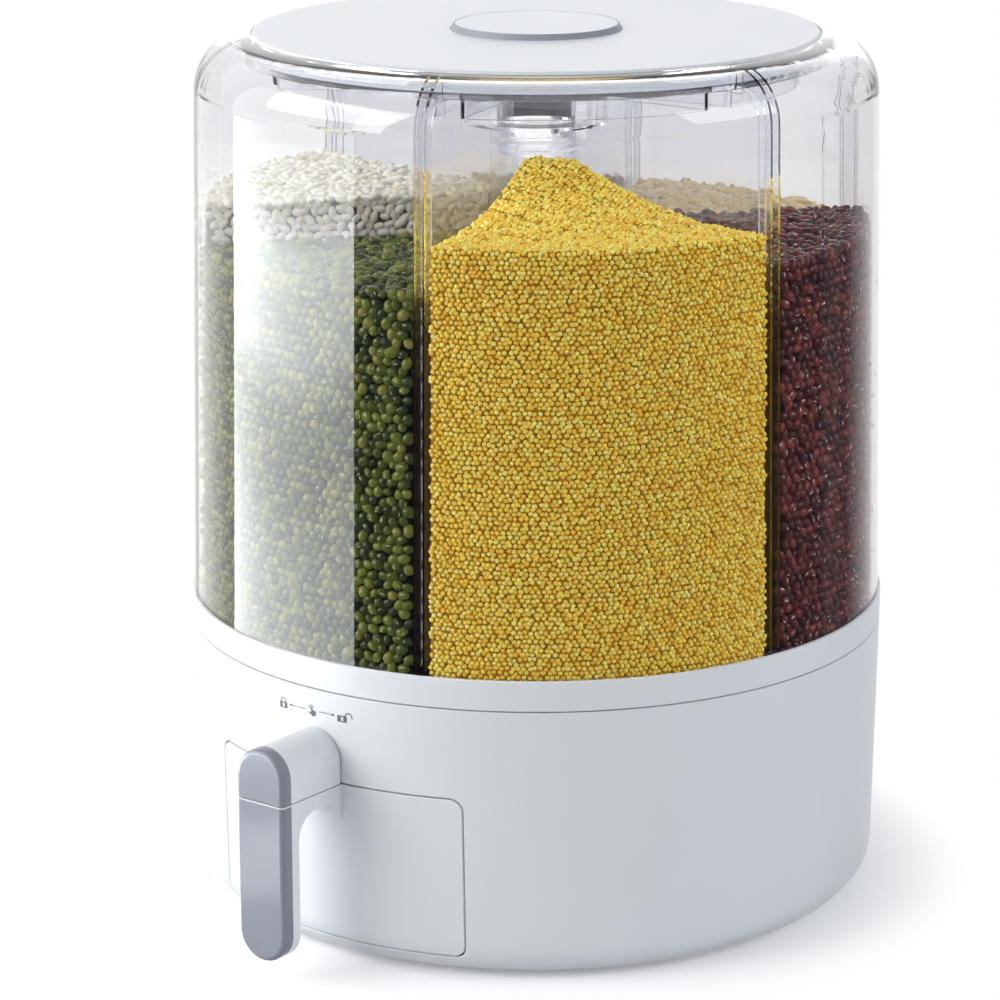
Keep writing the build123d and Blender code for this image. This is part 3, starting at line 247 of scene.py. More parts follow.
def make_lamp(name, turn, away, up, size, power, colour=(1.0, 1.0, 1.0)):
    """A rectangular lamp that looks at the middle, at an angle from the view's azimuth."""
    data = bpy.data.lights.new(name, "AREA")
    data.shape = "RECTANGLE"
    data.size, data.size_y = size
    data.energy = power
    data.color = colour
    lamp = bpy.data.objects.new(name, data)
    scene.collection.objects.link(lamp)
    lamp.location = place(VIEW_AZIMUTH + turn, away, up)
    lamp.rotation_euler = (MIDDLE - lamp.location).to_track_quat("-Z", "Y").to_euler()
    return lamp


def make_sheet(name, half_x, half_y, material):
    """A flat rectangle."""
    corners = [(-half_x, -half_y, 0), (half_x, -half_y, 0), (half_x, half_y, 0),
               (-half_x, half_y, 0)]
    mesh = bpy.data.meshes.new(name)
    mesh.from_pydata(corners, [], [(0, 1, 2, 3)])
    mesh.materials.append(material)
    sheet = bpy.data.objects.new(name, mesh)
    scene.collection.objects.link(sheet)
    return sheet


def make_card(name, location, target, width, height, steps, sides=(1.0, 1.0)):
    """A glowing card that only reflections see, and none that come from deep inside.

    steps lists its strength at heights counted from its middle, from low to high. sides
    scales it at the card's two upright edges.
    """
    material, tree = bare_material(name)
    x, y = width / 2, height / 2
    where = tree.nodes.new("ShaderNodeTexCoord")
    split = add_node(tree, "ShaderNodeSeparateXYZ", {0: where.outputs["Object"]})
    peak = max(strength for _, strength in steps)
    level = add_ramp(tree, add_range(tree, split.outputs["Y"], -y, y),
                     [((at + y) / height, (strength / peak,) * 3) for at, strength in steps])
    across = add_range(tree, split.outputs["X"], -x, x, sides[0] * peak, sides[1] * peak)
    glow = add_node(tree, "ShaderNodeEmission", {
        "Color": COOL_WHITE, "Strength": add_math(tree, "MULTIPLY", level, across)})
    path = tree.nodes.new("ShaderNodeLightPath")
    deep = add_math(tree, "GREATER_THAN", path.outputs["Transmission Depth"], DEEP_FOR_CARDS)
    through = tree.nodes.new("ShaderNodeBsdfTransparent")
    show(tree, add_mix(tree, deep, glow, through))
    card = make_sheet(name, x, y, material)
    card.location = location
    card.rotation_euler = (target - location).to_track_quat("Z", "Y").to_euler()
    card.visible_camera = False
    card.visible_diffuse = False
    card.visible_transmission = False
    card.visible_volume_scatter = False
    card.visible_shadow = False


def make_world():
    """White behind the object, and for reflections a room that is darker in front of it."""
    world = bpy.data.worlds.new("studio")
    scene.world = world
    world.use_nodes = True
    tree = world.node_tree
    tree.nodes.clear()
    path = tree.nodes.new("ShaderNodeLightPath")
    light = add_node(tree, "ShaderNodeBackground", {"Color": COOL_WHITE, "Strength": WORLD_LIGHT})
    seen = add_node(tree, "ShaderNodeBackground", {"Color": (1, 1, 1, 1), "Strength": 1.0})
    # How far a direction points behind the object, a little to its left, from -1 to 1
    where = tree.nodes.new("ShaderNodeTexCoord")
    facing = add_node(tree, "ShaderNodeVectorMath", {
        0: where.outputs["Generated"], 1: -direction(VIEW_AZIMUTH + ROOM_TURN)})
    facing.operation = "DOT_PRODUCT"
    room = add_ramp(tree, add_range(tree, facing.outputs["Value"], -1, 1), ROOM_STEPS)
    # Reflections from deep inside see nothing darker than this tint
    pale = tree.nodes.new("ShaderNodeMix")
    pale.data_type = "RGBA"
    pale.blend_type = "LIGHTEN"
    feed(tree, pale.inputs["Factor"],
         add_math(tree, "GREATER_THAN", path.outputs["Transmission Depth"], DEEP_FOR_ROOM))
    feed(tree, pale.inputs["A"], room)
    feed(tree, pale.inputs["B"], ROOM_DEEP_TINT)
    mirrored = add_node(tree, "ShaderNodeBackground", {"Color": pale.outputs["Result"]})
    direct = add_math(tree, "MAXIMUM", path.outputs["Is Camera Ray"],
                      path.outputs["Is Transmission Ray"])
    # A ray that was mirrored before it left the clear wall still looks into the room
    once = add_math(tree, "GREATER_THAN", path.outputs["Glossy Depth"], MIRRORED)
    mirror = add_math(tree, "MAXIMUM", path.outputs["Is Glossy Ray"], once)
    whole = add_mix(tree, mirror, add_mix(tree, direct, light, seen), mirrored)
    add_node(tree, "ShaderNodeOutputWorld", {"Surface": whole})


def make_floor():
    """White floor that keeps the object's shadow and runs out into a white backdrop."""
    material, tree = bare_material("floor")
    path = tree.nodes.new("ShaderNodeLightPath")
    direct = add_math(tree, "MAXIMUM", path.outputs["Is Camera Ray"],
                      path.outputs["Is Transmission Ray"])
    surface = add_node(tree, "ShaderNodeBsdfDiffuse", {"Color": FLOOR_TINT})
    glow = add_node(tree, "ShaderNodeEmission", {
        "Strength": add_math(tree, "MULTIPLY", direct, FLOOR_LIFT)})
    near = add_node(tree, "ShaderNodeAddShader", {0: surface, 1: glow})
    where = tree.nodes.new("ShaderNodeTexCoord")
    away = add_node(tree, "ShaderNodeVectorMath", {0: where.outputs["Object"]})
    away.operation = "LENGTH"
    fade = add_range(tree, away.outputs["Value"], *FLOOR_FADE)
    fade.interpolation_type = "SMOOTHSTEP"
    share = add_math(tree, "MULTIPLY", fade, direct)
    far = tree.nodes.new("ShaderNodeEmission")
    # Mirrored rays pass it, also those that leave a clear wall after their reflection
    once = add_math(tree, "GREATER_THAN", path.outputs["Glossy Depth"], MIRRORED)
    passed = tree.nodes.new("ShaderNodeBsdfTransparent")
    show(tree, add_mix(tree, once, add_mix(tree, share, near, far), passed))
    floor = make_sheet("floor", FLOOR_HALF, FLOOR_HALF, material)
    floor.visible_glossy = False


def make_studio():
    """Four lamps, and cards for the light that only reflections show."""
    make_lamp("key", turn=-74, away=1.7, up=0.92, size=(1.7, 1.1), power=32,
              colour=(1.0, 0.99, 0.97))
    fill = make_lamp("fill", turn=68, away=1.9, up=1.0, size=(1.2, 1.0), power=16.5,
                     colour=(0.96, 0.98, 1.0))
    fill.visible_glossy = False
    make_lamp("top", turn=0, away=0, up=1.9, size=(1.6, 1.6), power=4.4)
    make_lamp("back", turn=175, away=1.8, up=0.9, size=(1.4, 1.0), power=3.5)
    # The soft box whose reflection stands on the left of the barrel
    make_card("left_card", place(VIEW_AZIMUTH - 86.4, 1.2, 0.4), Vector((0, 0, 0.4)),
              width=1.27, height=1.36, sides=(0.65, 0.95),
              steps=[(-0.66, 9.6), (-0.53, 9.6), (-0.49, 8.4), (-0.465, 7.9), (-0.42, 8.5),
                     (-0.4, 10.6), (-0.375, 14.0), (-0.3, 15.5), (-0.27, 6.0), (-0.2, 2.0),
                     (0.6, 2.0)])
    make_card("right_card", place(VIEW_AZIMUTH + 109, 1.38, 0.2), Vector((0, 0, 0.2)),
              width=0.3, height=2.4, steps=[(-0.5, 0.14), (0.5, 0.2)])
    # The patch of light on the handle's front
    make_card("grip_card", Vector((-0.4815, -0.7325, -0.2215)), Vector((0, -0.187, 0.055)),
              width=0.1, height=0.044, steps=[(-0.02, 4.0), (0.02, 4.2)])


# Materials


def add_noise(tree, scale, detail):
    """Noise in the piece's own coordinates."""
    where = tree.nodes.new("ShaderNodeTexCoord")
    noise = add_node(tree, "ShaderNodeTexNoise", {
        "Vector": where.outputs["Object"], "Scale": scale, "Detail": detail})
    return noise.outputs["Fac"]


def add_bump(tree, shader, source, strength, distance):
    """Fine relief, as a noise says."""
    bump = add_node(tree, "ShaderNodeBump", {
        "Height": source, "Strength": strength, "Distance": distance})
    feed(tree, shader.inputs["Normal"], bump)


def add_tint(tree, shader, source, dark, light):
    """Colour between two tints, as a noise says."""
    ramp = add_ramp(tree, source, list(zip(TINT_SPAN, (dark, light))))
    feed(tree, shader.inputs["Base Color"], ramp)


def add_gloss(tree, shader, source, low, high):
    """Roughness between two values, as a noise says."""
    feed(tree, shader.inputs["Roughness"], add_range(tree, source, 0.0, 1.0, low, high))


def plastic(name, dark, light, rough_low, rough_high, coat=0.0):
    """Moulded plastic: a faint cloud in its colour and gloss and a very fine skin."""
    material, tree, shader = new_material(name)
    cloud = add_noise(tree, CLOUD_SCALE, 3.0)
    add_tint(tree, shader, cloud, dark, light)
    add_gloss(tree, shader, cloud, rough_low, rough_high)
    add_bump(tree, shader, add_noise(tree, SKIN_SCALE, 3.0), SKIN_STRENGTH, SKIN_DEPTH)
    shader.inputs["Coat Weight"].default_value = coat
    shader.inputs["Coat Roughness"].default_value = COAT_ROUGHNESS
    return material


def thin_plastic(name, dark, light):
    """Plastic thin enough to pass much of the light that falls on it, to its underside too."""
    material = plastic(name, dark, light, *THIN_ROUGHNESS)
    tree = material.node_tree
    shape = tree.nodes.new("ShaderNodeNewGeometry")
    split = add_node(tree, "ShaderNodeSeparateXYZ", {0: shape.outputs["Normal"]})
    # 0 where a face looks up or sideways, and 1 where it looks down
    under = add_range(tree, split.outputs["Z"], -0.3, -0.7)
    glow = add_node(tree, "ShaderNodeBsdfTranslucent", {"Color": (*light, 1)})
    both = add_mix(tree, under, tree.nodes["Principled BSDF"], glow)
    path = tree.nodes.new("ShaderNodeLightPath")
    lit = add_math(tree, "MAXIMUM", path.outputs["Is Shadow Ray"], path.outputs["Is Diffuse Ray"])
    through = tree.nodes.new("ShaderNodeBsdfTransparent")
    show(tree, add_mix(tree, add_math(tree, "MULTIPLY", lit, THIN_PASSES), both, through))
    return material


def clear(name, tint, thin=0.0):
    """Clear plastic that lets lamps through to what is behind it.

    Thin walls hardly bend what is seen through them, so they pass rays straight on, but for
    a share that grows towards their edges. A higher number for thin keeps it nearer to them.
    """
    material, tree, shader = new_material(name)
    shader.inputs["Base Color"].default_value = (*tint, 1)
    shader.inputs["Transmission Weight"].default_value = 1.0
    shader.inputs["IOR"].default_value = CLEAR_IOR
    wave = add_noise(tree, WAVE_SCALE, 1.0)
    add_bump(tree, shader, wave, WAVE_STRENGTH, WAVE_DEPTH)
    add_gloss(tree, shader, wave, CLEAR_ROUGHNESS * 0.5, CLEAR_ROUGHNESS)
    looks = shader
    if thin:
        facing = tree.nodes.new("ShaderNodeLayerWeight")
        steep = add_math(tree, "POWER", facing.outputs["Facing"], thin)
        straight = add_range(tree, steep, 0.0, 1.0, 1 - THIN_BENDS / thin, 0.0)
        pane = add_node(tree, "ShaderNodeBsdfTransparent", {"Color": (*tint, 1)})
        looks = add_mix(tree, straight, shader, pane)
    path = tree.nodes.new("ShaderNodeLightPath")
    through = add_node(tree, "ShaderNodeBsdfTransparent", {"Color": LAMP_TINT})
    show(tree, add_mix(tree, path.outputs["Is Shadow Ray"], looks, through))
    return material


def metal(name):
    """Bare metal with a faint cloud in its colour and gloss."""
    material, tree, shader = new_material(name)
    cloud = add_noise(tree, METAL_SCALE, 3.0)
    add_tint(tree, shader, cloud, (0.5, 0.51, 0.53), (0.62, 0.63, 0.65))
    add_gloss(tree, shader, cloud, *METAL_ROUGHNESS)
    shader.inputs["Metallic"].default_value = 1.0
    return material


def grain_skin(name, colour, spread, rough, scale=500.0, bump=0.0001, gloss=0.4):
    """One tint of a grain's skin, mottled about its colour."""
    material, tree, shader = new_material(name)
    shader.inputs["Specular IOR Level"].default_value = gloss
    mottle = add_noise(tree, scale, 2.0)
    dark = [max(c * (1 - spread), 0) for c in colour]
    light = [min(c * (1 + spread), 1) for c in colour]
    add_tint(tree, shader, mottle, dark, light)
    add_gloss(tree, shader, mottle, rough * 0.85, rough * 1.15)
    add_bump(tree, shader, mottle, 0.3, bump)
    return material


def make_materials():
    """The finish of every material slot that isn't grain."""
    return {
        "white_plastic": plastic("white_plastic", (0.78, 0.81, 0.85), (0.81, 0.84, 0.88), 0.34,
                                 0.42, coat=0.1),
        "grey_plastic": plastic("grey_plastic", (0.25, 0.27, 0.325), (0.27, 0.29, 0.345), 0.34,
                                0.4, coat=0.8),
        "inner_plastic": plastic("inner_plastic", (0.7, 0.71, 0.72), (0.76, 0.77, 0.78), 0.5, 0.6),
        "bush_plastic": plastic("bush_plastic", (0.82, 0.8, 0.74), (0.88, 0.86, 0.8), 0.4, 0.5),
        "grey_silicone": plastic("grey_silicone", (0.4, 0.43, 0.48), (0.44, 0.47, 0.52), 0.55,
                                 0.65),
        "black_rubber": plastic("black_rubber", (0.018, 0.018, 0.02), (0.03, 0.03, 0.032), 0.6,
                                0.75),
        "clear_plastic": clear("clear_plastic", (0.992, 0.993, 0.997)),
        "steel": metal("steel"),
    }


def dress(node, material):
    """Gives a node one finish and takes away any other."""
    node.data.materials.clear()
    node.data.materials.append(material)


def dress_nodes(materials):
    """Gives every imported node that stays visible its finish."""
    for entry in frame["record"]["subparts"]:
        if entry["material_slot"] in materials:
            dress(nodes[entry["node"]], materials[entry["material_slot"]])
    special = {
        "lid_cover": thin_plastic("lid_white", (0.8, 0.825, 0.86), (0.82, 0.845, 0.88)),
        "button_cap": thin_plastic("cap_white", (0.8, 0.825, 0.86), (0.82, 0.845, 0.88)),
        "button_ring": thin_plastic("ring_grey", (0.3, 0.32, 0.375), (0.32, 0.34, 0.395)),
        "lid_seal": thin_plastic("seal_grey", (0.55, 0.58, 0.63), (0.59, 0.62, 0.67)),
        "lid_inner": clear("lid_clear", (0.997, 0.998, 0.999)),
        "button_stem": clear("stem_clear", (0.994, 0.995, 0.998), thin=10.0),
        "divider_insert": clear("divider_clear", (0.965, 0.967, 0.98), thin=4.0),
    }
    for name, material in special.items():
        dress(nodes[name], material)


# Signs printed above the lever


class Print:
    """Flat shapes in mm laid on the housing's wall, counted from a point on it."""

    def __init__(self, azimuth, height):
        self.azimuth = azimuth
        self.height = height * MM
        self.points = []
        self.faces = []

    def seat(self, x, y, lift):
        """Point of the housing's wall at x and y, lifted off it."""
        z = self.height + y * MM
        turn = self.azimuth + math.degrees(x * MM / base_r(z))
        return tuple(direction(turn) * (base_r(z) + lift * MM) + Vector((0, 0, z)))

    def shape(self, outline, low=-0.03, high=0.05):
        """A filled shape, as a thin closed plate."""
        start, count = len(self.points), len(outline)
        self.points += [self.seat(x, y, low) for x, y in outline]
        self.points += [self.seat(x, y, high) for x, y in outline]
        self.faces.append([start + i for i in reversed(range(count))])
        self.faces.append([start + count + i for i in range(count)])
        for i in range(count):
            j = (i + 1) % count
            self.faces.append([start + i, start + j, start + count + j, start + count + i])

    def box(self, x, y, width, height, corner=0.25):
        """A filled rectangle with round corners."""
        outline = []
        for sx, sy, first in ((1, 1, 0), (-1, 1, 90), (-1, -1, 180), (1, -1, 270)):
            for step in (0, 30, 60, 90):
                a = math.radians(first + step)
                outline.append((x + sx * (width / 2 - corner) + corner * math.cos(a),
                                y + sy * (height / 2 - corner) + corner * math.sin(a)))
        self.shape(outline)

    def line(self, path, width):
        """A line of even width, in overlapping straight lengths with round ends."""
        for (ax, ay), (bx, by) in zip(path, path[1:]):
            along = math.atan2(by - ay, bx - ax)
            outline = []
            for cx, cy, first in ((bx, by, -90), (ax, ay, 90)):
                for step in range(0, 181, 45):
                    a = along + math.radians(first + step)
                    outline.append((cx + width / 2 * math.cos(a), cy + width / 2 * math.sin(a)))
            self.shape(outline)

    def arc(self, x, y, rx, ry, first, last, width):
        """A line along a part of an ellipse, in steps of about 22 degrees."""
        steps = max(int(abs(last - first) / 22), 2)
        angles = [math.radians(first + (last - first) * i / steps) for i in range(steps + 1)]
        self.line([(x + rx * math.cos(a), y + ry * math.sin(a)) for a in angles], width)

    def finish(self, name, material):
        """Makes the shapes one piece that stays with the housing."""
        mesh = bpy.data.meshes.new(name)
        mesh.from_pydata(self.points, [], self.faces)
        mesh.validate()
        mesh.materials.append(material)
        piece = bpy.data.objects.new(name, mesh)
        scene.collection.objects.link(piece)
        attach(piece, "base")


def make_signs():
    """Closed lock, arrow, hand, arrow, open lock."""
    ink = plastic("sign_ink", (0.1, 0.1, 0.11), (0.13, 0.13, 0.145), 0.4, 0.5)
    shut = Print(-7.05, 108.1)
    shut.arc(-0.1, 1.3, 1.5, 1.75, 180, 0, 0.4)
    for side in (-1, 1):
        shut.box(side * 1.45, 0, 1.5, 2.6)
        shut.box(0, side * 1.12, 4.4, 0.5)
    shut.finish("sign_shut", ink)
    left = Print(-3.85, 109.0)
    left.line([(-3.9, 0), (4.0, 0)], 0.34)
    left.shape([(-4.8, 0), (-3.6, -0.65), (-3.2, 0), (-3.6, 0.65)])
    left.finish("sign_left_arrow", ink)
    hand = Print(-0.75, 109.0)
    hand.arc(-0.7, 1.7, 1.15, 0.6, 0, 360, 0.3)
    hand.line([(-0.6, 1.4), (-0.1, 0.2)], 0.7)
    hand.shape([(0.24, -2.5), (1.66, -1.97), (2.0, -0.92), (1.66, 0.17), (0.47, 0.25),
                (-0.2, 0.78), (-0.71, 0.43), (-0.57, -0.98), (-0.71, -1.72)])
    hand.shape([(-2.13, -0.94), (-1.9, -1.2), (-0.4, -1.9), (-0.4, -0.98), (-1.42, -0.51)])
    hand.finish("sign_hand", ink)
    right = Print(2.15, 109.3)
    right.line([(-3.8, 0), (3.2, 0)], 0.34)
    right.shape([(4.1, 0), (2.9, 0.75), (2.4, 0), (2.9, -0.75)])
    right.finish("sign_right_arrow", ink)
    opened = Print(5.1, 108.4)
    opened.arc(3.2, 1.0, 1.75, 1.9, 180, -5, 0.5)
    for side in (-1, 1):
        opened.box(side * 1.5, 0, 1.7, 2.8)
        opened.box(0, side * 1.15, 4.7, 0.5)
    opened.finish("sign_open", ink)


# Grain


def ball(level):
    """Corners and faces of a round ball of 20 or 80 faces."""
    golden = (1 + math.sqrt(5)) / 2
    points = []
    for a in (-1, 1):
        for b in (-golden, golden):
            points += [(0, a, b), (a, b, 0), (b, 0, a)]
    points = [Vector(p).normalized() for p in points]
    edge = min((points[0] - p).length for p in points[1:]) * 1.1
    faces = []
    count = len(points)
    for i in range(count):
        for j in range(i + 1, count):
            for k in range(j + 1, count):
                sides = ((i, j), (j, k), (k, i))
                if all((points[p] - points[q]).length < edge for p, q in sides):
                    normal = (points[j] - points[i]).cross(points[k] - points[i])
                    turned = normal.dot(points[i]) < 0
                    faces.append((i, k, j) if turned else (i, j, k))
    for _ in range(level):
        middles = {}
        finer = []

        def middle(p, q):
            key = (min(p, q), max(p, q))
            if key not in middles:
                points.append(((points[p] + points[q]) / 2).normalized())
                middles[key] = len(points) - 1
            return middles[key]

        for i, j, k in faces:
            a, b, c = middle(i, j), middle(j, k), middle(k, i)
            finer += [(i, a, c), (a, j, b), (c, b, k), (a, b, c)]
        faces = finer
    return np.array([tuple(p) for p in points]), np.array(faces)


def build_mesh(name, points, faces, slots, materials):
    """A smooth mesh of triangles, with a material's number for each."""
    mesh = bpy.data.meshes.new(name)
    mesh.vertices.add(len(points))
    mesh.vertices.foreach_set("co", points.astype(np.float32).ravel())
    mesh.loops.add(len(faces) * 3)
    mesh.loops.foreach_set("vertex_index", faces.astype(np.int32).ravel())
    mesh.polygons.add(len(faces))
    mesh.polygons.foreach_set("loop_start", np.arange(0, len(faces) * 3, 3, dtype=np.int32))
    mesh.polygons.foreach_set("material_index", slots.astype(np.int32))
    mesh.polygons.foreach_set("use_smooth", np.ones(len(faces), dtype=bool))
    mesh.update(calc_edges=True)
    mesh.validate()
    for material in materials:
        mesh.materials.append(material)
    piece = bpy.data.objects.new(name, mesh)
    scene.collection.objects.link(piece)
    return piece


def hex_grid(width, height, spacing, rng, jitter):
    """Shaken points of a triangular grid over a width and a height, centred on 0."""
    rows = int(height / (spacing * math.sqrt(3) / 2)) + 2
    columns = int(width / spacing) + 2
    row, column = np.meshgrid(np.arange(rows), np.arange(columns), indexing="ij")
    x = (column + 0.5 * (row % 2)) * spacing - width / 2
    y = row * spacing * math.sqrt(3) / 2 - height / 2
    points = np.stack([x.ravel(), y.ravel()], axis=1)
    return points + rng.uniform(-jitter, jitter, points.shape) * spacing


def heap_z(u, v, level, rise):
    """Height of a heap's face: hollow flanks, and lumps that only take away."""
    wall = wall_r(level) - FILL_WALL_GAP
    share = np.clip((wall - np.hypot(u, v)) / (wall - HEAP_TOP_R), 0, 1)
    coarse = np.sin(u * 190 + 1) * np.sin(v * 240 + 0.5)
    fine = 0.6 * np.sin(u * 330 - v * 410)
    lumps = coarse + fine - 1.6
    return level + rise * (share**HEAP_CURVE + HEAP_LUMPS * lumps * np.minimum(4 * share, 1))


class Fill:
    """Where the grain of one compartment lies."""

    def __init__(self, node, index, rise):
        self.node = node
        out = direction(DIVIDER_AZIMUTH + (index - 0.5) * COMPARTMENT_ANGLE)
        self.out = np.array(out)
        self.side = np.array(Vector((-out.y, out.x, 0)))
        self.rise = rise * MM
        self.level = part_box(node)[1].z - self.rise

    def to_world(self, u, v, z):
        """Points from local radius u, sideways v and height z."""
        up = np.array([0, 0, 1.0])
        return u[:, None] * self.out + v[:, None] * self.side + up * z[:, None]

    def side_room(self, u, v):
        """Distance of a point from the nearer of the two side faces."""
        half = math.radians(COMPARTMENT_ANGLE / 2)
        return u * math.sin(half) - np.abs(v) * math.cos(half) - FILL_SIDE_GAP


def wall_seats(fill, spacing, size, rng, jitter):
    """Seats of the grains that lie against the barrel's wall."""
    height = fill.level - FILL_LOW_Z
    radius = wall_r(fill.level)
    # The arc of a compartment is 1.05 radii long
    points = hex_grid(radius * 1.1, height, spacing, rng, jitter)
    angle = points[:, 0] / radius
    z = points[:, 1] + (fill.level + FILL_LOW_Z) / 2
    r = wall_r(z) - FILL_WALL_GAP - size
    u, v = r * np.cos(angle), r * np.sin(angle)
    keep = (fill.side_room(u, v) > size) & (z > FILL_LOW_Z + size) & (z < fill.level - size / 2)
    centre = fill.to_world(u, v, z)[keep]
    out = fill.to_world(np.cos(angle), np.sin(angle), z * 0)[keep]
    up = np.tile([0, 0, 1.0], (len(centre), 1))
    return centre, out, up


def heap_seats(fill, spacing, size, rng, jitter):
    """Seats of the grains on the heap's upper face."""
    reach = wall_r(fill.level) - FILL_WALL_GAP
    # A little wider and deeper than a compartment seen from above
    points = hex_grid(reach * 1.2, reach * 1.1, spacing, rng, jitter)
    v = points[:, 0]
    u = points[:, 1] + reach / 2
    r = np.hypot(u, v)
    keep = (fill.side_room(u, v) > size) & (r < reach - size) & (r > HUB_R + size)
    u, v, r = u[keep], v[keep], r[keep]
    wobble = rng.uniform(*HEAP_WOBBLE, len(u)) * size
    z = heap_z(u, v, fill.level, fill.rise) - size + wobble
    share = np.clip((reach - r) / (reach - HEAP_TOP_R), 0, 1)
    slope = HEAP_CURVE * fill.rise * share**(HEAP_CURVE - 1)
    slope = slope / (reach - HEAP_TOP_R) * (r > HEAP_TOP_R)
    out = np.stack([u / r * slope, v / r * slope, np.ones(len(u))], axis=1)
    normal = fill.to_world(out[:, 0], out[:, 1], out[:, 2])
    normal /= np.linalg.norm(normal, axis=1)[:, None]
    along = fill.to_world(u / r, v / r, -slope)
    along /= np.linalg.norm(along, axis=1)[:, None]
    return fill.to_world(u, v, z), normal, along


def side_seats(fill, spacing, size, rng, jitter):
    """Seats of the grains that lie against the dividers, in the upper stretch."""
    reach = wall_r(fill.level) - FILL_WALL_GAP
    half = math.radians(COMPARTMENT_ANGLE / 2)
    centres, outs, ups = [], [], []
    for sign in (-1, 1):
        points = hex_grid(reach, SIDE_DEPTH + fill.rise, spacing, rng, jitter)
        along = points[:, 0] + reach / 2
        z = points[:, 1] + fill.level - (SIDE_DEPTH - fill.rise) / 2
        inset = (FILL_SIDE_GAP + size) / math.cos(half)
        u = along * math.cos(half) + inset * math.sin(half)
        v = sign * (along * math.sin(half) - inset * math.cos(half))
        r = np.hypot(u, v)
        keep = (r > HUB_R + size) & (r < reach - 2 * size)
        keep &= z < heap_z(u, v, fill.level, fill.rise) - 1.5 * size
        keep &= sign * v > 0
        u, v, z = u[keep], v[keep], z[keep]
        ones = np.ones(len(u))
        centres.append(fill.to_world(u, v, z))
        outs.append(fill.to_world(-math.sin(half) * ones, sign * math.cos(half) * ones, 0 * ones))
        ups.append(np.tile([0, 0, 1.0], (len(u), 1)))
    return np.concatenate(centres), np.concatenate(outs), np.concatenate(ups)


def turned_axes(normal, along, rng, tilt):
    """Random axes for each grain: the long one lies near the surface."""
    across = np.cross(normal, along)
    turn = rng.uniform(0, math.pi, len(normal))[:, None]
    long_axis = along * np.cos(turn) + across * np.sin(turn)
    long_axis = long_axis + normal * rng.normal(0, tilt, len(normal))[:, None]
    long_axis /= np.linalg.norm(long_axis, axis=1)[:, None]
    middle = np.cross(normal, long_axis)
    middle /= np.linalg.norm(middle, axis=1)[:, None]
    short = np.cross(long_axis, middle)
    return long_axis, middle, short


def spread_grains(name, seats, kind, rng, materials, weights):
    """One mesh of many grains, each an uneven ball at its seat.

    weights say how often a grain has each of the materials. One more material is the streak's.
    """
    centre, normal, along = seats
    shape, faces = ball(kind["level"])
    count = len(centre)
    axes = turned_axes(normal, along, rng, kind["tilt"])
    sizes = np.array(kind["size"]) * MM / 2
    scale = sizes * rng.normal(1.0, kind["vary"], (count, 1)).clip(0.8, 1.2)
    scale = scale * rng.normal(1.0, kind["vary"] / 2, (count, 3)).clip(0.85, 1.15)
    body = shape.copy()
    body[:, 1] += kind.get("bend", 0.0) * (body[:, 0] ** 2 - 0.3)
    points = np.zeros((count, len(shape), 3))
    for axis in range(3):
        points += body[None, :, axis, None] * scale[:, None, axis, None] * axes[axis][:, None, :]
    points += centre[:, None, :]
    starts = np.arange(count)[:, None, None] * len(shape)
    all_faces = (faces[None] + starts).reshape(-1, 3)
    slots = rng.choice(len(weights), count, p=np.array(weights) / sum(weights))
    slots = np.repeat(slots, len(faces))
    points = points.reshape(-1, 3)
    if "streak" in kind:
        more, more_faces = make_streaks(centre, normal, axes, scale, kind["streak"], rng)
        all_faces = np.concatenate([all_faces, more_faces + len(points)])
        slots = np.concatenate([slots, np.full(len(more_faces), len(weights))])
        points = np.concatenate([points, more])
    return build_mesh(name, points, all_faces, slots, materials)


def make_streaks(centre, normal, axes, scale, size, rng):
    """The pale seed scar on one long side of each bean, where it faces outwards."""
    turn = rng.uniform(0, 2 * math.pi, len(centre))
    cosine, sine = np.cos(turn)[:, None], np.sin(turn)[:, None]
    out = axes[1] * cosine + axes[2] * sine
    reach = 1 / np.sqrt((cosine[:, 0] / scale[:, 1])**2 + (sine[:, 0] / scale[:, 2])**2)
    seen = (out * normal).sum(axis=1) > STREAK_SEEN
    out, reach, long_axis = out[seen], reach[seen], axes[0][seen]
    middle = centre[seen] + out * (reach - size[2] * MM / 4)[:, None]
    across = np.cross(out, long_axis)
    shape, faces = ball(0)
    half = np.array(size) * MM / 2
    points = np.zeros((len(middle), len(shape), 3)) + middle[:, None, :]
    for axis, part in ((long_axis, 0), (across, 1), (out, 2)):
        points += shape[None, :, part, None] * half[part] * axis[:, None, :]
    starts = np.arange(len(middle))[:, None, None] * len(shape)
    return points.reshape(-1, 3), (faces[None] + starts).reshape(-1, 3)


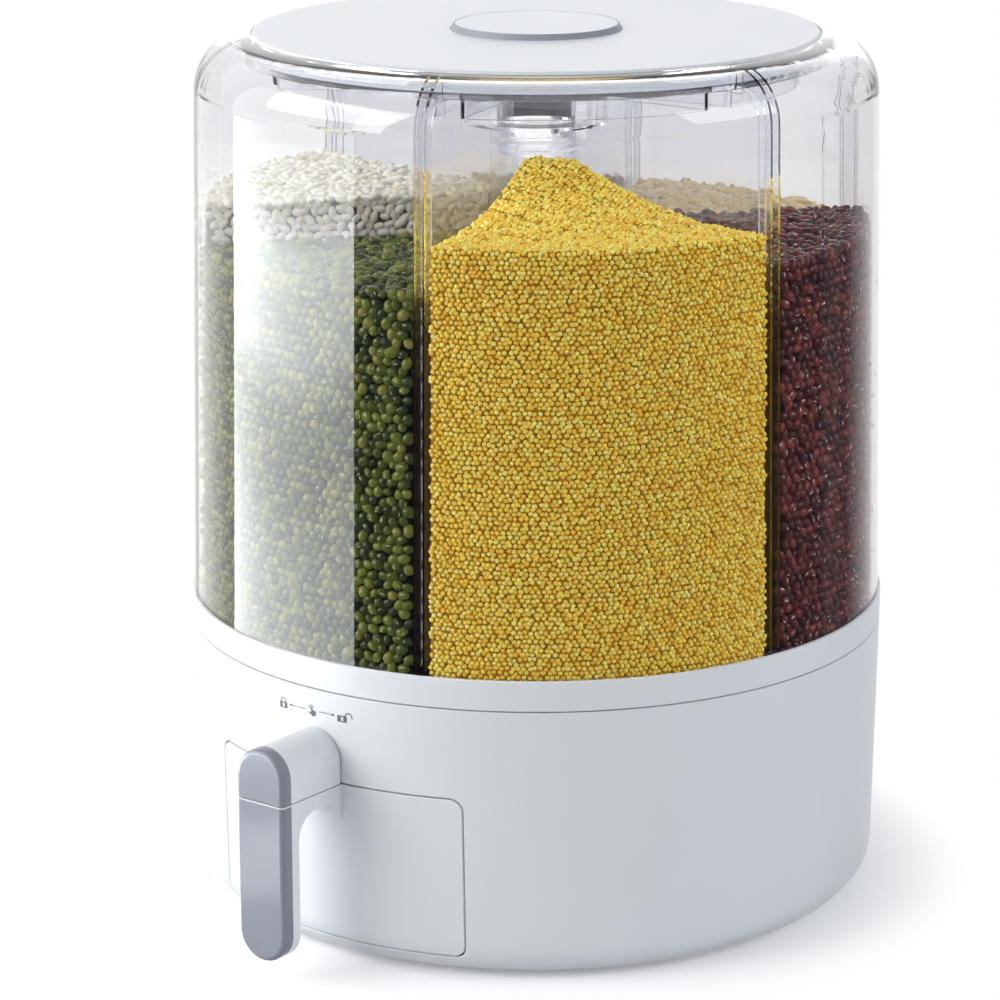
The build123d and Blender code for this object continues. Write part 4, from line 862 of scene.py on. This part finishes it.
def make_painted_shade(name, fill, inset, material):
    """A dark mass a little inside the grains. Its colour is painted shade that shows in the gaps
    between them.
    """
    steps_a, steps_r = 24, 14
    half = math.radians(COMPARTMENT_ANGLE / 2)
    reach = wall_r(fill.level) - FILL_WALL_GAP - inset
    margin = FILL_SIDE_GAP + inset
    radii = np.linspace(HUB_R + inset, reach, steps_r)
    top, bottom = [], []
    for r in radii:
        limit = half - math.asin(min(margin / r, math.sin(half) * 0.98))
        for a in np.linspace(-limit, limit, steps_a + 1):
            u, v = r * math.cos(a), r * math.sin(a)
            z = float(heap_z(u, v, fill.level, fill.rise)) - inset
            top.append((u, v, z))
            low_r = r + (wall_r(FILL_LOW_Z) - wall_r(fill.level)) * (r == radii[-1])
            bottom.append((low_r * math.cos(a), low_r * math.sin(a), FILL_LOW_Z))
    grid = np.array(top + bottom)
    points = fill.to_world(grid[:, 0], grid[:, 1], grid[:, 2])
    width = steps_a + 1
    count = steps_r * width
    quads = []
    for i in range(steps_r - 1):
        for j in range(steps_a):
            a, b = i * width + j, (i + 1) * width + j
            quads.append((a, b, b + 1, a + 1))
            quads.append((count + a, count + a + 1, count + b + 1, count + b))
    ring = list(range(width))
    ring += [i * width + steps_a for i in range(1, steps_r)]
    ring += [(steps_r - 1) * width + j for j in range(steps_a - 1, -1, -1)]
    ring += [i * width for i in range(steps_r - 2, 0, -1)]
    for p, q in zip(ring, ring[1:] + ring[:1]):
        quads.append((p, q, count + q, count + p))
    faces = []
    for a, b, c, d in quads:
        faces += [(a, b, c), (a, c, d)]
    faces = np.array(faces)
    piece = build_mesh(name, points, faces, np.zeros(len(faces)), [material])
    piece.data.polygons.foreach_set("use_smooth", np.zeros(len(faces), dtype=bool))
    return piece


# Each grain: tints with their shares, the tint of the dark mass behind it, which is painted shade,
# its size along three axes and its spacing in mm, how much sizes vary, how fine its ball is
# (level), how far it tilts, its roughness, how much a tint spreads, and how far it strays from its
# seat (jitter).
# Some are bent, and some have a pale streak of a size in mm.
GRAINS = {
    "millet": {
        "tints": [((0.97, 0.71, 0.1), 5), ((0.89, 0.57, 0.055), 3), ((0.98, 0.82, 0.2), 2)],
        "painted_shade": (0.42, 0.22, 0.02),
        "size": (2.35, 2.2, 2.15), "spacing": 2.18, "vary": 0.05, "level": 0, "tilt": 0.5,
        "rough": 0.45, "spread": 0.12, "jitter": 0.22,
    },
    "mung_bean": {
        "tints": [((0.065, 0.085, 0.012), 5), ((0.13, 0.155, 0.022), 4), ((0.028, 0.04, 0.009), 3),
                  ((0.18, 0.175, 0.035), 1)],
        "painted_shade": (0.004, 0.006, 0.002),
        "size": (5.6, 4.4, 4.2), "spacing": 4.45, "vary": 0.09, "level": 1, "tilt": 0.35,
        "rough": 0.25, "spread": 0.2, "jitter": 0.13, "streak": (2.0, 0.45, 0.3),
        "streak_tint": (0.5, 0.52, 0.34),
    },
    "adzuki_bean": {
        "tints": [((0.1, 0.022, 0.017), 5), ((0.055, 0.013, 0.011), 3), ((0.17, 0.035, 0.028), 2)],
        "painted_shade": (0.012, 0.002, 0.003),
        "size": (6.2, 4.3, 4.1), "spacing": 4.5, "vary": 0.08, "level": 1, "tilt": 0.35,
        "rough": 0.26, "spread": 0.2, "jitter": 0.13, "streak": (2.4, 0.55, 0.3),
        "streak_tint": (0.75, 0.62, 0.55),
    },
    "oat": {
        "tints": [((0.85, 0.66, 0.37), 4), ((0.88, 0.74, 0.47), 3), ((0.7, 0.5, 0.24), 2)],
        "painted_shade": (0.16, 0.1, 0.05),
        "size": (6.8, 3.2, 2.6), "spacing": 3.9, "vary": 0.08, "level": 1, "tilt": 0.25,
        "rough": 0.55, "spread": 0.12, "jitter": 0.15,
    },
    "buckwheat": {
        "tints": [((0.3, 0.25, 0.19), 4), ((0.2, 0.16, 0.12), 3), ((0.4, 0.33, 0.24), 2)],
        "painted_shade": (0.06, 0.045, 0.03),
        "size": (4.8, 3.8, 3.6), "spacing": 4.2, "vary": 0.08, "level": 1, "tilt": 0.5,
        "rough": 0.55, "spread": 0.15, "jitter": 0.15,
    },
    "white_bean": {
        "tints": [((0.85, 0.81, 0.67), 5), ((0.88, 0.85, 0.74), 3), ((0.74, 0.67, 0.49), 1)],
        "painted_shade": (0.12, 0.1, 0.07),
        "size": (6.6, 3.8, 3.2), "spacing": 4.0, "vary": 0.08, "level": 1, "tilt": 0.25,
        "rough": 0.35, "spread": 0.05, "bend": 0.12, "jitter": 0.15,
    },
}
# What fills the compartments in turn, and how far each heap rises above its edge in mm
FILLS = [
    ("mung_bean", 1.0),
    ("millet", 16.0),
    ("adzuki_bean", 2.0),
    ("oat", 2.0),
    ("buckwheat", 2.0),
    ("white_bean", 1.0),
]


def make_grain(index, name, rise):
    """Fills a compartment with loose grain around a dark mass of painted shade."""
    kind = GRAINS[name]
    fill = Fill(name + "_fill", index, rise)
    rng = np.random.default_rng(100 + index)
    size = kind["size"][2] * MM / 2
    spacing = kind["spacing"] * MM
    skins = [
        grain_skin(f"{name}_{number}", tint, kind["spread"], kind["rough"])
        for number, (tint, _) in enumerate(kind["tints"])
    ]
    weights = [share for _, share in kind["tints"]]
    if "streak" in kind:
        skins.append(grain_skin(name + "_streak", kind["streak_tint"], spread=0.1, rough=0.5))
    # Skin of the dark mass: painted shade for the gaps between grains
    dark = grain_skin(name + "_shade", kind["painted_shade"], spread=0.4, rough=0.8, scale=400.0,
                      bump=0.0004, gloss=0.0)
    loose = []
    for part, find_seats in (("wall", wall_seats), ("heap", heap_seats), ("sides", side_seats)):
        seats = find_seats(fill, spacing, size, rng, kind["jitter"])
        loose.append(spread_grains(f"{name}_{part}", seats, kind, rng, skins, weights))
    # The dark mass of painted shade, a little inside the loose grains
    painted_shade = make_painted_shade(name + "_core", fill, PAINTED_SHADE_INSET * size, dark)
    for piece in (*loose, painted_shade):
        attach(piece, "rotor")
    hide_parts(fill.node)


make_camera()
make_world()
make_floor()
make_studio()
dress_nodes(make_materials())
make_signs()
for number, (grain_name, heap_rise) in enumerate(FILLS):
    make_grain(number, grain_name, heap_rise)
